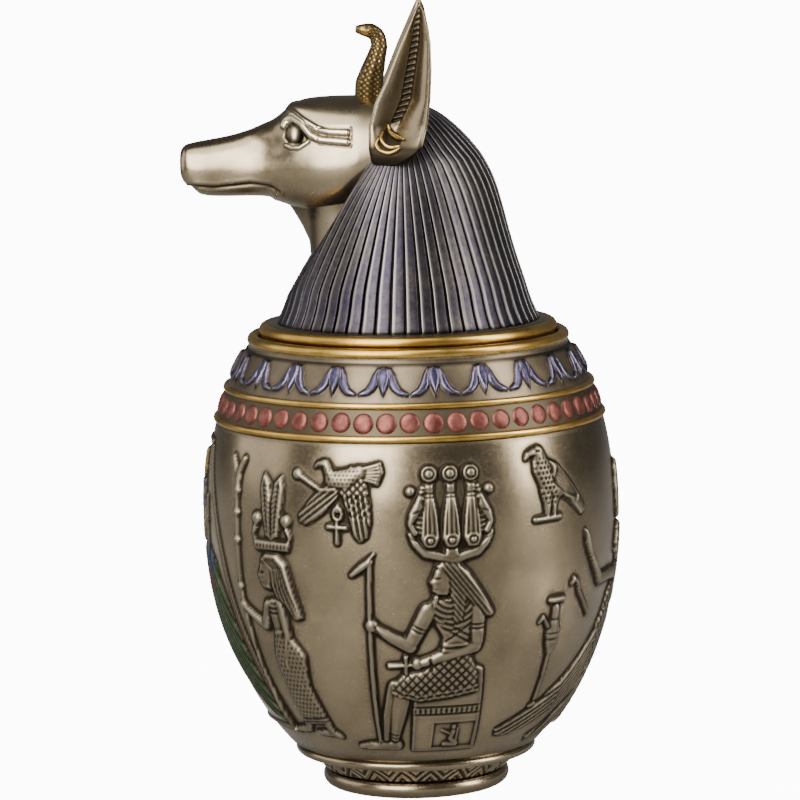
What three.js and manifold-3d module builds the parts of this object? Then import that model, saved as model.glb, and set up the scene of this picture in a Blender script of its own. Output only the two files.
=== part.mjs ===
// A jackal-headed canopic jar, cast in bronze-filled resin: an egg-shaped hollow jar on a low foot,
// with bands and a relief frieze, and a lid cast as a jackal's head in a striped headcloth.
// Millimetres, +Z up. The origin is the middle of the foot's underside. The jackal looks along -X.
import * as THREE from 'three';
import { mergeVertices } from 'three/addons/utils/BufferGeometryUtils.js';
import Module from 'manifold-3d';

const wasm = await Module();
wasm.setup();

// Jar, from the ground up.
const FOOT_CONTACT_RADIUS = 31;
const FOOT_RADIUS = 36.3;
const FOOT_HEIGHT = 7.5;
const CHEVRON_BAND_RADIUS = 35.2;
const CHEVRON_BAND_HEIGHT = 6;
const FLANGE_NECK_RADIUS = 41;
const FLANGE_RADIUS = 46.8;
const FLANGE_HEIGHT = 4;
const BODY_BOTTOM_RADIUS = 47.5;
const BELLY_HEIGHT = 87.5;
const EQUATOR_RADIUS = 79;
const BELLY_FULLNESS = 2;
const SHOULDER_HEIGHT = 67.5;
const SHOULDER_FULLNESS = 2.4;
const BODY_TOP_RADIUS = 62.5;
const RIM_HEIGHT = 5.3;
const WALL_THICKNESS = 6;
const FLOOR_THICKNESS = 13;

// Bands on the shoulder.
const RING_RADIUS = 1.4;
const LOTUS_BAND_HEIGHT = 15;
const LOTUS_COUNT = 22;
const LOTUS_LENGTH = 11.6;
const LOTUS_RELIEF = 1.2;
const BEAD_BAND_HEIGHT = 11.8;
const BEAD_COUNT = 52;
const BEAD_DIAMETER = 7.6;
const BEAD_RELIEF = 1.3;
const BEAD_SIDES = 6;

// Frieze on the belly. The motifs are drawn in steps of one drawing unit.
const DRAWING_UNIT = 1;
const LOW_RELIEF = 1.1;
const HIGH_RELIEF = 1.9;
const FLAT_TOP_SPAN = 20;

// Mouth of the jar and seat of the lid.
const RIM_TUBE_RADIUS = 2.2;
const RIM_RECESS_RADIUS = 58.2;
const SEAT_DEPTH = 3.6;
const MOUTH_RADIUS = 52;
const LEDGE_THICKNESS = 6;
const LID_CLEARANCE = 0.5;
const REST_GAP = 0.3;
const PLUG_LENGTH = 8;

// Lid: collar ring, headcloth, neck and head.
const COLLAR_HEIGHT = 7.7;
const COLLAR_STEP = 1.2;
const CLOTH_FOOT_RADIUS = 50.8;
const CLOTH_HEIGHT = 83.5;
const CLOTH_STRIPES = 46;
const STRIPE_DEPTH = 1.3;
const HOOD_FRONT = 50.2;
const HOOD_BACK = 0.5;
const HEAD_REACH = 86.3;
const HEAD_HEIGHT = 45.6;
const HEAD_WIDTH = 54;
const JAW_ABOVE_COLLAR = 40.7;
const EYE_LINE_HALF = 1.2;
const MOUTH_GAP = 1;
const NECK_RADIUS = 17;
const THROAT_RADIUS = 8;
const EAR_LENGTH = 61.8;
const EAR_WIDTH = 22;
const EAR_DEPTH = 9;
const EAR_RIM = 1.4;
const EAR_SPREAD = 29;
const EAR_MIDDLE = -5.8;
const EAR_SKEW = 0.3;
const COBRA_HEIGHT = 28;
const COBRA_THICKNESS = 8;

// Facets.
const ROUND = 26;
const INNER_ROUND = 26;
const BODY_ROWS = 5;

const bandBottom = FOOT_HEIGHT;
const flangeBottom = bandBottom + CHEVRON_BAND_HEIGHT;
const bodyBottom = flangeBottom + FLANGE_HEIGHT;
const equatorZ = bodyBottom + BELLY_HEIGHT;
const bodyTop = equatorZ + SHOULDER_HEIGHT;
const rimTop = bodyTop + RIM_HEIGHT;
const seatZ = rimTop - SEAT_DEPTH;
const lotusRingZ = bodyTop - LOTUS_BAND_HEIGHT;
const beadRingZ = lotusRingZ - BEAD_BAND_HEIGHT;
const lidBottom = seatZ + REST_GAP;
const collarTop = lidBottom + COLLAR_HEIGHT;

// How far the belly's and the shoulder's curves would reach from the equator if they closed on the axis.
const bellyReach = BELLY_HEIGHT
  / (1 - (BODY_BOTTOM_RADIUS / EQUATOR_RADIUS) ** 2) ** (1 / BELLY_FULLNESS);
const shoulderReach = SHOULDER_HEIGHT
  / (1 - (BODY_TOP_RADIUS / EQUATOR_RADIUS) ** 2) ** (1 / SHOULDER_FULLNESS);

function wallRadius(z) {
  const above = z > equatorZ;
  const reach = above ? shoulderReach : bellyReach;
  const fullness = above ? SHOULDER_FULLNESS : BELLY_FULLNESS;
  const share = Math.min(Math.abs(z - equatorZ) / reach, 1);
  return EQUATOR_RADIUS * Math.sqrt(1 - share ** fullness);
}

// Distances along the wall's profile, from the equator, upwards.
const PROFILE_STEPS = 300;
const profileTable = [];
for (let i = 0, travelled = 0; i <= PROFILE_STEPS; i += 1) {
  const z = bodyBottom + ((bodyTop - bodyBottom) * i) / PROFILE_STEPS;
  const r = wallRadius(z);
  if (i > 0) travelled += Math.hypot(z - profileTable[i - 1].z, r - profileTable[i - 1].r);
  profileTable.push({ z, r, travelled });
}
const equatorTravel = profileTable.find((p) => p.z >= equatorZ).travelled;

function heightAlongWall(distance) {
  const wanted = distance + equatorTravel;
  const next = profileTable.findIndex((p) => p.travelled >= wanted);
  if (next < 1) return next === 0 ? bodyBottom : bodyTop;
  const [low, high] = [profileTable[next - 1], profileTable[next]];
  return THREE.MathUtils.mapLinear(wanted, low.travelled, high.travelled, low.z, high.z);
}

// The wall's outward slope at a height, as a unit vector (radial, vertical).
function wallNormal(z) {
  const step = 0.5;
  const rise = wallRadius(z + step) - wallRadius(z - step);
  return new THREE.Vector2(2 * step, -rise).normalize();
}

// A manifold-3d solid from a closed geometry, and back.
function solidFrom(geometry) {
  const bare = new THREE.BufferGeometry();
  bare.setAttribute('position', geometry.getAttribute('position').clone());
  if (geometry.index) bare.setIndex(geometry.index.clone());
  const merged = mergeVertices(bare, 1e-4);
  const corners = merged.index.array;
  const triangles = [];
  for (let i = 0; i < corners.length; i += 3) {
    const [a, b, c] = [corners[i], corners[i + 1], corners[i + 2]];
    if (a !== b && b !== c && c !== a) triangles.push(a, b, c);
  }
  const places = merged.getAttribute('position').array;
  if (signedVolume(places, triangles) < 0) {
    for (let i = 0; i < triangles.length; i += 3) {
      [triangles[i + 1], triangles[i + 2]] = [triangles[i + 2], triangles[i + 1]];
    }
  }
  return new wasm.Manifold(new wasm.Mesh({
    numProp: 3,
    vertProperties: new Float32Array(places),
    triVerts: new Uint32Array(triangles),
  }));
}

function signedVolume(places, triangles) {
  const corner = (i) => new THREE.Vector3().fromArray(places, i * 3);
  let volume = 0;
  for (let i = 0; i < triangles.length; i += 3) {
    const [a, b, c] = [corner(triangles[i]), corner(triangles[i + 1]), corner(triangles[i + 2])];
    volume += a.dot(b.cross(c));
  }
  return volume;
}

function meshFrom(solid, name, material) {
  const { vertProperties, triVerts } = solid.getMesh();
  const geometry = new THREE.BufferGeometry();
  geometry.setAttribute('position', new THREE.BufferAttribute(vertProperties, 3));
  geometry.setIndex(new THREE.BufferAttribute(triVerts, 1));
  geometry.computeVertexNormals();
  const mesh = new THREE.Mesh(geometry, material);
  mesh.name = name;
  return mesh;
}

function joined(solids) {
  return solids.reduce((whole, piece) => whole.add(piece));
}

// A solid of revolution about +Z from (radius, height) points that start and end on the axis. One of
// its facets, and so one bead, faces -Y.
function turned(profile, segments) {
  const points = profile.map(([r, z]) => new THREE.Vector2(r, z));
  const geometry = new THREE.LatheGeometry(points, segments);
  return solidFrom(geometry.rotateX(Math.PI / 2).rotateZ(Math.PI / segments));
}

// A closed skin over rings of equal count, capped at both ends.
function lofted(rings) {
  const count = rings[0].length;
  const places = rings.flat().flatMap((p) => p.toArray());
  const triangles = [];
  for (let row = 0; row + 1 < rings.length; row += 1) {
    for (let k = 0; k < count; k += 1) {
      const next = (k + 1) % count;
      const [a, b] = [row * count + k, row * count + next];
      const [c, d] = [a + count, b + count];
      triangles.push(a, b, d, a, d, c);
    }
  }
  const capped = [[0, false], [rings.length - 1, true]];
  for (const [row, last] of capped) {
    const centre = new THREE.Vector3();
    rings[row].forEach((p) => centre.addScaledVector(p, 1 / count));
    const hub = places.length / 3;
    places.push(...centre.toArray());
    for (let k = 0; k < count; k += 1) {
      const [a, b] = [row * count + k, row * count + ((k + 1) % count)];
      triangles.push(...(last ? [a, b, hub] : [b, a, hub]));
    }
  }
  const geometry = new THREE.BufferGeometry();
  geometry.setAttribute('position', new THREE.Float32BufferAttribute(places, 3));
  geometry.setIndex(triangles);
  return solidFrom(geometry);
}

function arcPoints(centreR, centreZ, radius, fromDeg, toDeg, steps) {
  const points = [];
  for (let i = 0; i <= steps; i += 1) {
    const angle = THREE.MathUtils.degToRad(fromDeg + ((toDeg - fromDeg) * i) / steps);
    points.push([centreR + radius * Math.cos(angle), centreZ + radius * Math.sin(angle)]);
  }
  return points;
}

// The wall's profile between two heights, moved out by an offset.
function wallPoints(from, to, steps, offset) {
  const points = [];
  for (let i = 0; i <= steps; i += 1) {
    const z = from + ((to - from) * i) / steps;
    const normal = wallNormal(z);
    points.push([wallRadius(z) + offset * normal.x, z + offset * normal.y]);
  }
  return points;
}

// Outlines of the frieze. Points are (across, up) on the unrolled wall: across is measured on the
// equator, with 0 on the -Y side and growing towards +X, and up goes along the wall from the equator.

// A strip along points (x, y, half width).
function ribbon(points) {
  const sides = points.map(([x, y, half], i) => {
    const [fromX, fromY] = points[Math.max(i - 1, 0)];
    const [toX, toY] = points[Math.min(i + 1, points.length - 1)];
    const length = Math.hypot(toX - fromX, toY - fromY);
    const [nx, ny] = [-(toY - fromY) / length, (toX - fromX) / length];
    return [[x + half * nx, y + half * ny], [x - half * nx, y - half * ny]];
  });
  return [...sides.map(([left]) => left), ...sides.map(([, right]) => right).reverse()];
}

function disc(x, y, radiusX, radiusY, sides = 6) {
  const outline = [];
  for (let i = 0; i < sides; i += 1) {
    const angle = (2 * Math.PI * (i + 0.5)) / sides;
    outline.push([x + radiusX * Math.cos(angle), y + radiusY * Math.sin(angle)]);
  }
  return outline;
}

function mirrored(outline) {
  return outline.map(([x, y]) => [-x, y]);
}

function pointOnWall([x, y]) {
  const z = heightAlongWall(y);
  const angle = x / EQUATOR_RADIUS;
  return new THREE.Vector3(wallRadius(z) * Math.sin(angle), -wallRadius(z) * Math.cos(angle), z);
}

function normalOnWall([x, y]) {
  const normal = wallNormal(heightAlongWall(y));
  const angle = x / EQUATOR_RADIUS;
  return new THREE.Vector3(normal.x * Math.sin(angle), -normal.x * Math.cos(angle), normal.y);
}

// A solid with that outline that stands on the wall, from a sunk depth up to a height above it.
function boss(outline, height) {
  const SUNK = 3;
  const shape = outline.map(([x, y]) => new THREE.Vector2(x, y));
  if (THREE.ShapeUtils.isClockWise(shape)) shape.reverse();
  const points = shape.map((p) => p.toArray());
  const count = points.length;
  const middle = [0, 1].map((axis) => points.reduce((sum, p) => sum + p[axis] / count, 0));
  const outward = normalOnWall(middle);
  const places = [-SUNK, height].flatMap((depth) => points.flatMap(
    (p) => pointOnWall(p).addScaledVector(outward, depth).toArray(),
  ));
  const triangles = [];
  for (const [a, b, c] of THREE.ShapeUtils.triangulateShape(shape, [])) {
    triangles.push(c, b, a, a + count, b + count, c + count);
  }
  for (let k = 0; k < count; k += 1) {
    const next = (k + 1) % count;
    triangles.push(k, next, next + count, k, next + count, k + count);
  }
  const geometry = new THREE.BufferGeometry();
  geometry.setAttribute('position', new THREE.Float32BufferAttribute(places, 3));
  geometry.setIndex(triangles);
  return solidFrom(geometry);
}

// Motifs of the frieze. Each stands on its own ground point and faces left.
function seatedGod() {
  return {
    low: [
      [[-12.5, 25.5], [8, 27], [13, 38], [17, 38], [20.8, 0], [-14.5, 0]],
      ribbon([[-30, 7, 1.2], [-28, 77, 1.2]]),
      ribbon([[-35, 76, 1.8], [-28, 82, 1.6]]),
      ribbon([[-22, 40.5, 1.1], [-11, 41, 1.1]]),
      ribbon([[-15.5, 37.5, 1], [-15.5, 44, 1]]),
    ],
    high: [
      [
        [-7.6, 65], [14, 66.5], [10, 46.5], [14.5, 36], [13.5, 28.5], [-10.5, 26], [-14, 20],
        [-20.5, 0], [-43, 0], [-43, 2.2], [-25.5, 6.5], [-21.5, 20], [-22, 31], [-18, 35],
        [-8, 38], [-1, 45.5],
      ],
      [
        [-4.8, 72], [-3, 68.5], [2.4, 57.9], [6.6, 57.9], [8, 65], [15.2, 59.6], [19.5, 60.4],
        [13, 73], [5, 80.6], [-2.5, 79.5],
      ],
      ribbon([[-5, 63, 3], [-14.3, 48, 2.4], [-28, 56.5, 2.2]]),
      ribbon([[-11, 41.5, 2], [12, 47.5, 2.6], [12.5, 60, 3]]),
    ],
  };
}

// Three bundles under sun discs, on ram's horns, with a cobra at each side.
function tripleCrown() {
  const serpent = ribbon([[-18, 26.5, 1.6], [-13.9, 19.5, 1.4], [-15, 9.5, 1.5]]);
  const bundle = [
    [-1.7, 30], [-2.8, 34], [0, 37], [2.8, 34], [1.7, 30], [1.8, 25.5], [3.4, 9], [0, 6],
    [-3.4, 9], [-1.8, 25.5],
  ];
  return {
    low: [
      ribbon([[-17.5, 11.5, 1.4], [-9.5, 2, 1.7], [0, 0, 2.2], [9.5, 2, 1.7], [17.5, 11.5, 1.4]]),
      serpent,
      mirrored(serpent),
    ],
    high: [-8, 0, 8].map((shift) => bundle.map(([x, y]) => [x + shift, y])),
  };
}

function standingGoddess() {
  return {
    low: [
      ribbon([[-14.2, 4, 1.1], [-20.2, 60, 1.1], [-20.8, 99, 1.1]]),
      ribbon([[-27.4, 110, 1.2], [-21.2, 99, 1.2], [-17, 111, 1.2]]),
      ribbon([[-9.5, 78.8, 1.3], [8.5, 79, 1.3]]),
    ],
    high: [
      [
        [-5.5, 58.5], [4, 60], [2.8, 46.5], [10.8, 37], [14, 6.5], [17.5, 1], [17.5, -1],
        [-14.5, 0], [-14.5, 2], [-3, 5], [-5.8, 36], [-2.4, 46.5],
      ],
      [
        [-7.8, 66], [-6, 62.5], [0.5, 59], [3, 60], [9.5, 52], [12.5, 53], [8.5, 65], [6, 73],
        [1, 76], [-5.5, 74],
      ],
      ribbon([[-4.5, 56, 2], [-8, 47.5, 2], [-20, 54, 1.8]]),
      [[-1.5, 80], [-6, 103], [-4, 107], [0, 103.5], [4, 106.5], [6, 103], [1.5, 80]],
      disc(-8.4, 88.6, 2, 2.6),
      disc(7, 88.4, 2, 2.6),
    ],
  };
}

function vulture() {
  return {
    low: [
      [
        [-5, 6], [-16, -6], [-13.5, -9.5], [-3, -2], [3, 3], [6.5, -13], [10.3, -15], [12.5, -11],
        [10.5, 8.5], [15.5, 6.5], [17, 14], [9, 12.5], [3, 13],
      ],
      ribbon([[-17.5, 9.5, 1.5], [-7, 4, 1]]),
      ribbon([[0, -2, 2.2], [-0.3, -8, 1], [-0.3, -15.5, 1]]),
    ],
    high: [ribbon([[-9.8, 13.2, 0.6], [-5.4, 14, 2], [-2.5, 9, 3], [3, 8, 4.2], [8, 11, 2.2]])],
  };
}

function falcon() {
  return {
    low: [ribbon([[-1, 10, 2.6], [-1.8, 0, 1.8]]), ribbon([[-7.8, -0.6, 1], [4.4, -0.3, 1]])],
    high: [
      ribbon([[-10.6, 24.4, 0.6], [-4, 25, 3], [-2, 18, 4.8], [5, 11, 4.2], [17, 2, 2.4]]),
    ],
  };
}

// An offering stand: a vessel on a tall stem.
function offeringStand() {
  return {
    low: [ribbon([[0, 0, 1], [0, 24, 1.2]])],
    high: [
      ribbon([[0, 23, 2.4], [0, 32, 3.4], [0, 36, 1.9], [0, 41, 1.8], [0, 43, 3.3], [0, 45.5, 3.3]]),
    ],
  };
}

// A goddess with one hand raised and both wings sweeping down and left.
function wingedGoddess() {
  return {
    low: [
      [
        [-6, 60], [-19, 42], [-37, 24], [-60, 9], [-74.5, 4], [-72, 0.5], [-55, 2], [-30, 10],
        [-6, 36],
      ],
      [[-6, 30], [-24, 8], [-46, -3], [-44, -6], [-22, -2], [-6, 12]],
      ribbon([[-48, 63, 1.8], [-43, 59, 1.2], [-34, 49.5, 1.1]]),
    ],
    high: [
      [[-7, 62], [7, 62], [4, 45], [8, 30], [8, -4], [-10, -4], [-7, 30], [-4, 45]],
      ribbon([[-5, 60, 2.6], [-28, 62, 2.2], [-37.5, 75, 1.7], [-40, 82.5, 1.2]]),
      [[-5, 70], [-3, 66], [2, 58], [7, 58], [7, 70], [2, 78], [-4, 77]],
      ribbon([[0, 77, 2.5], [-1, 94, 3.4], [0, 104, 1.4]]),
    ],
  };
}

// The framed panel under the jackal's face: a standing figure over two spread wings.
function framedPanel() {
  const post = ribbon([[18, 32, 1.2], [21, -10, 1.2], [29, -66, 1.2]]);
  const wing = [[3, -46], [14, -42], [19, -52], [21, -68], [14, -74], [3, -66]];
  return {
    low: [post, mirrored(post), wing, mirrored(wing)],
    high: [
      [[-6, 4], [0, 8], [6, 4], [7, -38], [-7, -38]],
      disc(0, 13, 4.4, 5.4, 8),
      ribbon([[0, 18, 2.6], [0, 28, 3.4]]),
    ],
  };
}

// Where each motif stands, and on which side it looks: 1 keeps it facing left, -1 turns it round.
// Those on the back are plain: they have only their high parts.
const halfTurn = (Math.PI * EQUATOR_RADIUS) / DRAWING_UNIT;
const FRIEZE = [
  { motif: seatedGod, across: 12, up: -86, facing: 1 },
  { motif: tripleCrown, across: 14.7, up: -5.5, facing: 1 },
  { motif: standingGoddess, across: -57, up: -80, facing: 1 },
  { motif: vulture, across: -28, up: 18, facing: 1 },
  { motif: falcon, across: 57, up: 8, facing: 1 },
  { motif: offeringStand, across: 61, up: -69, facing: 1 },
  { motif: wingedGoddess, across: 117, up: -82, facing: 1 },
  { motif: seatedGod, across: halfTurn - 12, up: -86, facing: -1, plain: true },
  { motif: tripleCrown, across: halfTurn - 14.7, up: -5.5, facing: -1, plain: true },
  { motif: standingGoddess, across: halfTurn + 57, up: -80, facing: -1, plain: true },
  { motif: framedPanel, across: -halfTurn / 2, up: 0, facing: 1 },
];

function placed(outlines, { across, up, facing }) {
  return outlines.map((outline) => outline.map(([x, y]) => [
    (across + facing * x) * DRAWING_UNIT,
    (up + y) * DRAWING_UNIT,
  ]));
}

// The wall as a full solid, moved out by an offset: what cuts large motifs off at their relief.
function wallSolid(offset) {
  const wall = wallPoints(bodyBottom, bodyTop, BODY_ROWS, offset);
  return turned([[0, wall[0][1]], ...wall, [0, wall[wall.length - 1][1]]], ROUND);
}

// Small motifs keep their own flat tops, and large ones follow the wall.
function frieze(level, relief) {
  const shell = wallSolid(relief);
  const entries = FRIEZE.filter((entry) => level === 'high' || !entry.plain);
  const outlines = entries.flatMap((entry) => placed(entry.motif()[level], entry));
  const solids = outlines.map((outline) => {
    const spans = [0, 1].map((axis) => {
      const values = outline.map((point) => point[axis]);
      return Math.max(...values) - Math.min(...values);
    });
    if (Math.max(...spans) < FLAT_TOP_SPAN) return boss(outline, relief);
    return boss(outline, relief + FLAT_TOP_SPAN).intersect(shell);
  });
  return joined(solids);
}

function travelAt(z) {
  return profileTable.find((p) => p.z >= z).travelled - equatorTravel;
}

function beadBand() {
  const middleZ = (beadRingZ + lotusRingZ) / 2;
  const middle = travelAt(middleZ);
  const half = BEAD_DIAMETER / 2;
  const stretch = EQUATOR_RADIUS / wallRadius(middleZ);
  const beads = [];
  for (let i = 0; i < BEAD_COUNT; i += 1) {
    const across = (2 * Math.PI * EQUATOR_RADIUS * i) / BEAD_COUNT;
    beads.push(boss(disc(across, middle, half * stretch, half, BEAD_SIDES), BEAD_RELIEF));
  }
  return joined(beads);
}

// A lotus flower hangs head down: a middle bud and two side petals that curl outwards.
function lotusBand() {
  const top = travelAt(bodyTop - RING_RADIUS);
  const bottom = top - LOTUS_LENGTH;
  const half = (Math.PI * EQUATOR_RADIUS) / LOTUS_COUNT;
  const right = [
    [0.5 * half, top - 0.5 * LOTUS_LENGTH], [0.96 * half, bottom],
    [0.27 * half, bottom + 0.3 * LOTUS_LENGTH],
  ];
  const flower = [[0, top], ...right, [0, bottom], ...mirrored(right).reverse()];
  const flowers = [];
  for (let i = 0; i < LOTUS_COUNT; i += 1) {
    flowers.push(boss(flower.map(([x, y]) => [x + (2 * i + 1) * half, y]), LOTUS_RELIEF));
  }
  return joined(flowers);
}

function jarProfile() {
  const ringAt = (z) => {
    const r = wallRadius(z);
    return arcPoints(r, z, RING_RADIUS, -70, 70, 2);
  };
  const footBulge = FOOT_RADIUS - FOOT_CONTACT_RADIUS;
  return [
    [0, 0],
    [FOOT_CONTACT_RADIUS, 0],
    [FOOT_CONTACT_RADIUS + 0.8 * footBulge, 0.22 * FOOT_HEIGHT],
    [FOOT_RADIUS, 0.52 * FOOT_HEIGHT],
    [0.99 * FOOT_RADIUS, 0.85 * FOOT_HEIGHT],
    [CHEVRON_BAND_RADIUS, bandBottom],
    [FLANGE_NECK_RADIUS, flangeBottom],
    [0.98 * FLANGE_RADIUS, flangeBottom + 0.15 * FLANGE_HEIGHT],
    [0.98 * FLANGE_RADIUS, flangeBottom + 0.85 * FLANGE_HEIGHT],
    ...wallPoints(bodyBottom, beadRingZ - 2 * RING_RADIUS, BODY_ROWS, 0),
    ...ringAt(beadRingZ),
    ...ringAt(lotusRingZ),
    [wallRadius(bodyTop), bodyTop],
    ...arcPoints(RIM_RECESS_RADIUS + 0.8 * RIM_TUBE_RADIUS, rimTop - RIM_TUBE_RADIUS, RIM_TUBE_RADIUS, -40, 130, 4),
    [RIM_RECESS_RADIUS, rimTop - 0.5 * RIM_TUBE_RADIUS],
    [RIM_RECESS_RADIUS, seatZ],
    [0, seatZ],
  ];
}

function cavityProfile() {
  const inner = (z) => wallRadius(z) - WALL_THICKNESS;
  const lowest = bodyBottom + 0.8 * WALL_THICKNESS;
  const highest = seatZ - 1.3 * LEDGE_THICKNESS;
  const points = [[0, FLOOR_THICKNESS], [0.75 * inner(lowest), FLOOR_THICKNESS]];
  const rows = 6;
  for (let i = 0; i <= rows; i += 1) {
    const z = lowest + ((highest - lowest) * i) / rows;
    points.push([inner(z), z]);
  }
  points.push([MOUTH_RADIUS, seatZ - LEDGE_THICKNESS], [MOUTH_RADIUS, rimTop + RIM_HEIGHT], [0, rimTop + RIM_HEIGHT]);
  return points;
}

function jar() {
  const outside = turned(jarProfile(), ROUND);
  const relief = [lotusBand(), beadBand(), frieze('low', LOW_RELIEF), frieze('high', HIGH_RELIEF)];
  return joined([outside, ...relief])
    .subtract(turned(cavityProfile(), INNER_ROUND));
}

// Lid: the plug and collar, turned.
function collar() {
  const outer = RIM_RECESS_RADIUS - LID_CLEARANCE;
  const bulge = COLLAR_HEIGHT / 3;
  return turned([
    [0, lidBottom - PLUG_LENGTH],
    [MOUTH_RADIUS - LID_CLEARANCE, lidBottom - PLUG_LENGTH],
    [MOUTH_RADIUS - LID_CLEARANCE, lidBottom],
    [outer, lidBottom],
    ...arcPoints(outer - bulge, collarTop - bulge, bulge, -10, 110, 3),
    [CLOTH_FOOT_RADIUS + COLLAR_STEP, collarTop - COLLAR_STEP / 2],
    [0, collarTop - COLLAR_STEP / 2],
  ], ROUND);
}

// Headcloth radius at each share of its height, from the collar to the crown.
const CLOTH_OUTLINE = [
  [0, 1], [0.08, 0.945], [0.31, 0.825], [0.53, 0.735], [0.68, 0.652], [0.79, 0.54],
  [0.91, 0.34], [0.985, 0.12],
];

// The cloth is open in front along a slanted edge, and its stripes fan out from that edge to the back.
function headcloth() {
  const rings = CLOTH_OUTLINE.map(([up, width]) => {
    const z = collarTop + up * CLOTH_HEIGHT - (up === 0 ? COLLAR_STEP : 0);
    const edgeX = THREE.MathUtils.lerp(HOOD_FRONT, HOOD_BACK, up);
    const edgeAngle = Math.acos(Math.min(edgeX / (CLOTH_FOOT_RADIUS * width), 1));
    return clothRing(edgeAngle, width, z);
  });
  return lofted(rings);
}

// One ring of the cloth, from its edge on the left, round the back, to its edge on the right.
function clothRing(edgeAngle, width, z) {
  const ring = [];
  for (let k = 0; k <= 2 * CLOTH_STRIPES; k += 1) {
    const share = k / (2 * CLOTH_STRIPES);
    const fromFront = THREE.MathUtils.lerp(edgeAngle, 2 * Math.PI - edgeAngle, share);
    const groove = k % 2 ? STRIPE_DEPTH * Math.min(1, 1.2 * width) : 0;
    const r = CLOTH_FOOT_RADIUS * width - groove;
    ring.push(new THREE.Vector3(-r * Math.cos(fromFront), -r * Math.sin(fromFront), z));
  }
  return ring;
}

// A ring round the head at one station: rounder above than below.
function headRing(x, top, bottom, halfWidth, squareness, sides = 18) {
  const middle = 0.45 * top + 0.55 * bottom;
  const ring = [];
  for (let k = 0; k < sides; k += 1) {
    const angle = (2 * Math.PI * k) / sides;
    const [c, s] = [Math.cos(angle), Math.sin(angle)];
    const y = halfWidth * Math.sign(c) * Math.abs(c) ** (2 / squareness);
    const rise = s > 0 ? top - middle : middle - bottom;
    ring.push(new THREE.Vector3(x, y, middle + rise * Math.sign(s) * Math.abs(s) ** (2 / squareness)));
  }
  return ring;
}

const jawZ = collarTop + JAW_ABOVE_COLLAR;
const earFootZ = jawZ + 0.43 * HEAD_HEIGHT;

// Stations from the nose back: share of the reach, top and bottom as shares of the head's height
// above the jaw, half width as a share of the head's width, and how square the section is.
const HEAD_STATIONS = [
  [1, 0.54, 0.36, 0.1, 2.6],
  [0.985, 0.575, 0.29, 0.155, 2.6],
  [0.93, 0.615, 0.17, 0.185, 2.6],
  [0.81, 0.665, 0.155, 0.2, 2.4],
  [0.7, 0.73, 0.15, 0.23, 2.3],
  [0.62, 0.785, 0.14, 0.27, 2.2],
  [0.555, 0.87, 0.12, 0.325, 2.2],
  [0.5, 0.945, 0.08, 0.37, 2.2],
  [0.42, 0.975, 0.02, 0.42, 2.2],
  [0.33, 0.99, 0.0, 0.47, 2.2],
  [0.2, 1, 0.05, 0.5, 2.2],
  [0.08, 0.98, 0.15, 0.48, 2.2],
  [-0.06, 0.88, 0.3, 0.4, 2.2],
];

function head() {
  return lofted(HEAD_STATIONS.map(([reach, top, bottom, width, squareness]) => headRing(
    -reach * HEAD_REACH,
    jawZ + top * HEAD_HEIGHT,
    jawZ + bottom * HEAD_HEIGHT,
    width * HEAD_WIDTH,
    squareness,
  )));
}

// A closed tube over points, each with its own half width across and along the bend's plane.
function tapered(points, sides) {
  const curve = new THREE.CatmullRomCurve3(points.map((p) => p.at));
  const rings = points.map((p, i) => {
    const share = i / (points.length - 1);
    const along = curve.getTangent(share);
    const across = new THREE.Vector3(0, 1, 0);
    const inward = new THREE.Vector3().crossVectors(along, across).normalize();
    const ring = [];
    for (let k = 0; k < sides; k += 1) {
      const angle = (2 * Math.PI * k) / sides;
      ring.push(p.at.clone()
        .addScaledVector(across, p.across * Math.cos(angle))
        .addScaledVector(inward, p.inward * Math.sin(angle)));
    }
    return ring;
  });
  return lofted(rings);
}

function neck() {
  const low = collarTop + COLLAR_STEP;
  const high = jawZ + 0.3 * HEAD_HEIGHT;
  const lean = [[0, 0.21], [0.5, 0.238], [1, 0.29]];
  const muscle = tapered(lean.map(([up, reach]) => ({
    at: new THREE.Vector3(-reach * HEAD_REACH, 0, low + up * (high - low)),
    across: NECK_RADIUS,
    inward: 0.95 * NECK_RADIUS,
  })), 16);
  const throat = tapered(lean.map(([up, reach]) => ({
    at: new THREE.Vector3(-reach * HEAD_REACH - 0.75 * NECK_RADIUS, 0, low + up * (high - low)),
    across: THROAT_RADIUS,
    inward: 0.85 * THROAT_RADIUS,
  })), 10);
  return muscle.add(throat);
}

// Half width of the head at a place on its side: reach from the axis and height above the jaw, as shares.
function headSide(reach, up) {
  const back = HEAD_STATIONS.findIndex((station) => station[0] <= reach);
  const [low, high] = [HEAD_STATIONS[back - 1], HEAD_STATIONS[back]];
  const share = (low[0] - reach) / (low[0] - high[0]);
  const [, top, bottom, width, squareness] = low.map((value, i) => THREE.MathUtils.lerp(value, high[i], share));
  const middle = 0.45 * top + 0.55 * bottom;
  const rise = up > middle ? (up - middle) / (top - middle) : (middle - up) / (middle - bottom);
  const sine = Math.min(rise, 1) ** (squareness / 2);
  return width * Math.sqrt(1 - sine ** 2) ** (2 / squareness);
}

// The eyeball, the lids and the two painted stripes behind them, as shallow raised forms. Each place is
// a reach from the axis and a height above the jaw, as shares of the head.
const BROW_LINE = [[0.488, 0.864], [0.433, 0.816], [0.348, 0.739], [0.246, 0.721]];
const LID_LINE = [[0.53, 0.656], [0.483, 0.594], [0.403, 0.66], [0.326, 0.656], [0.247, 0.647]];

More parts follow.
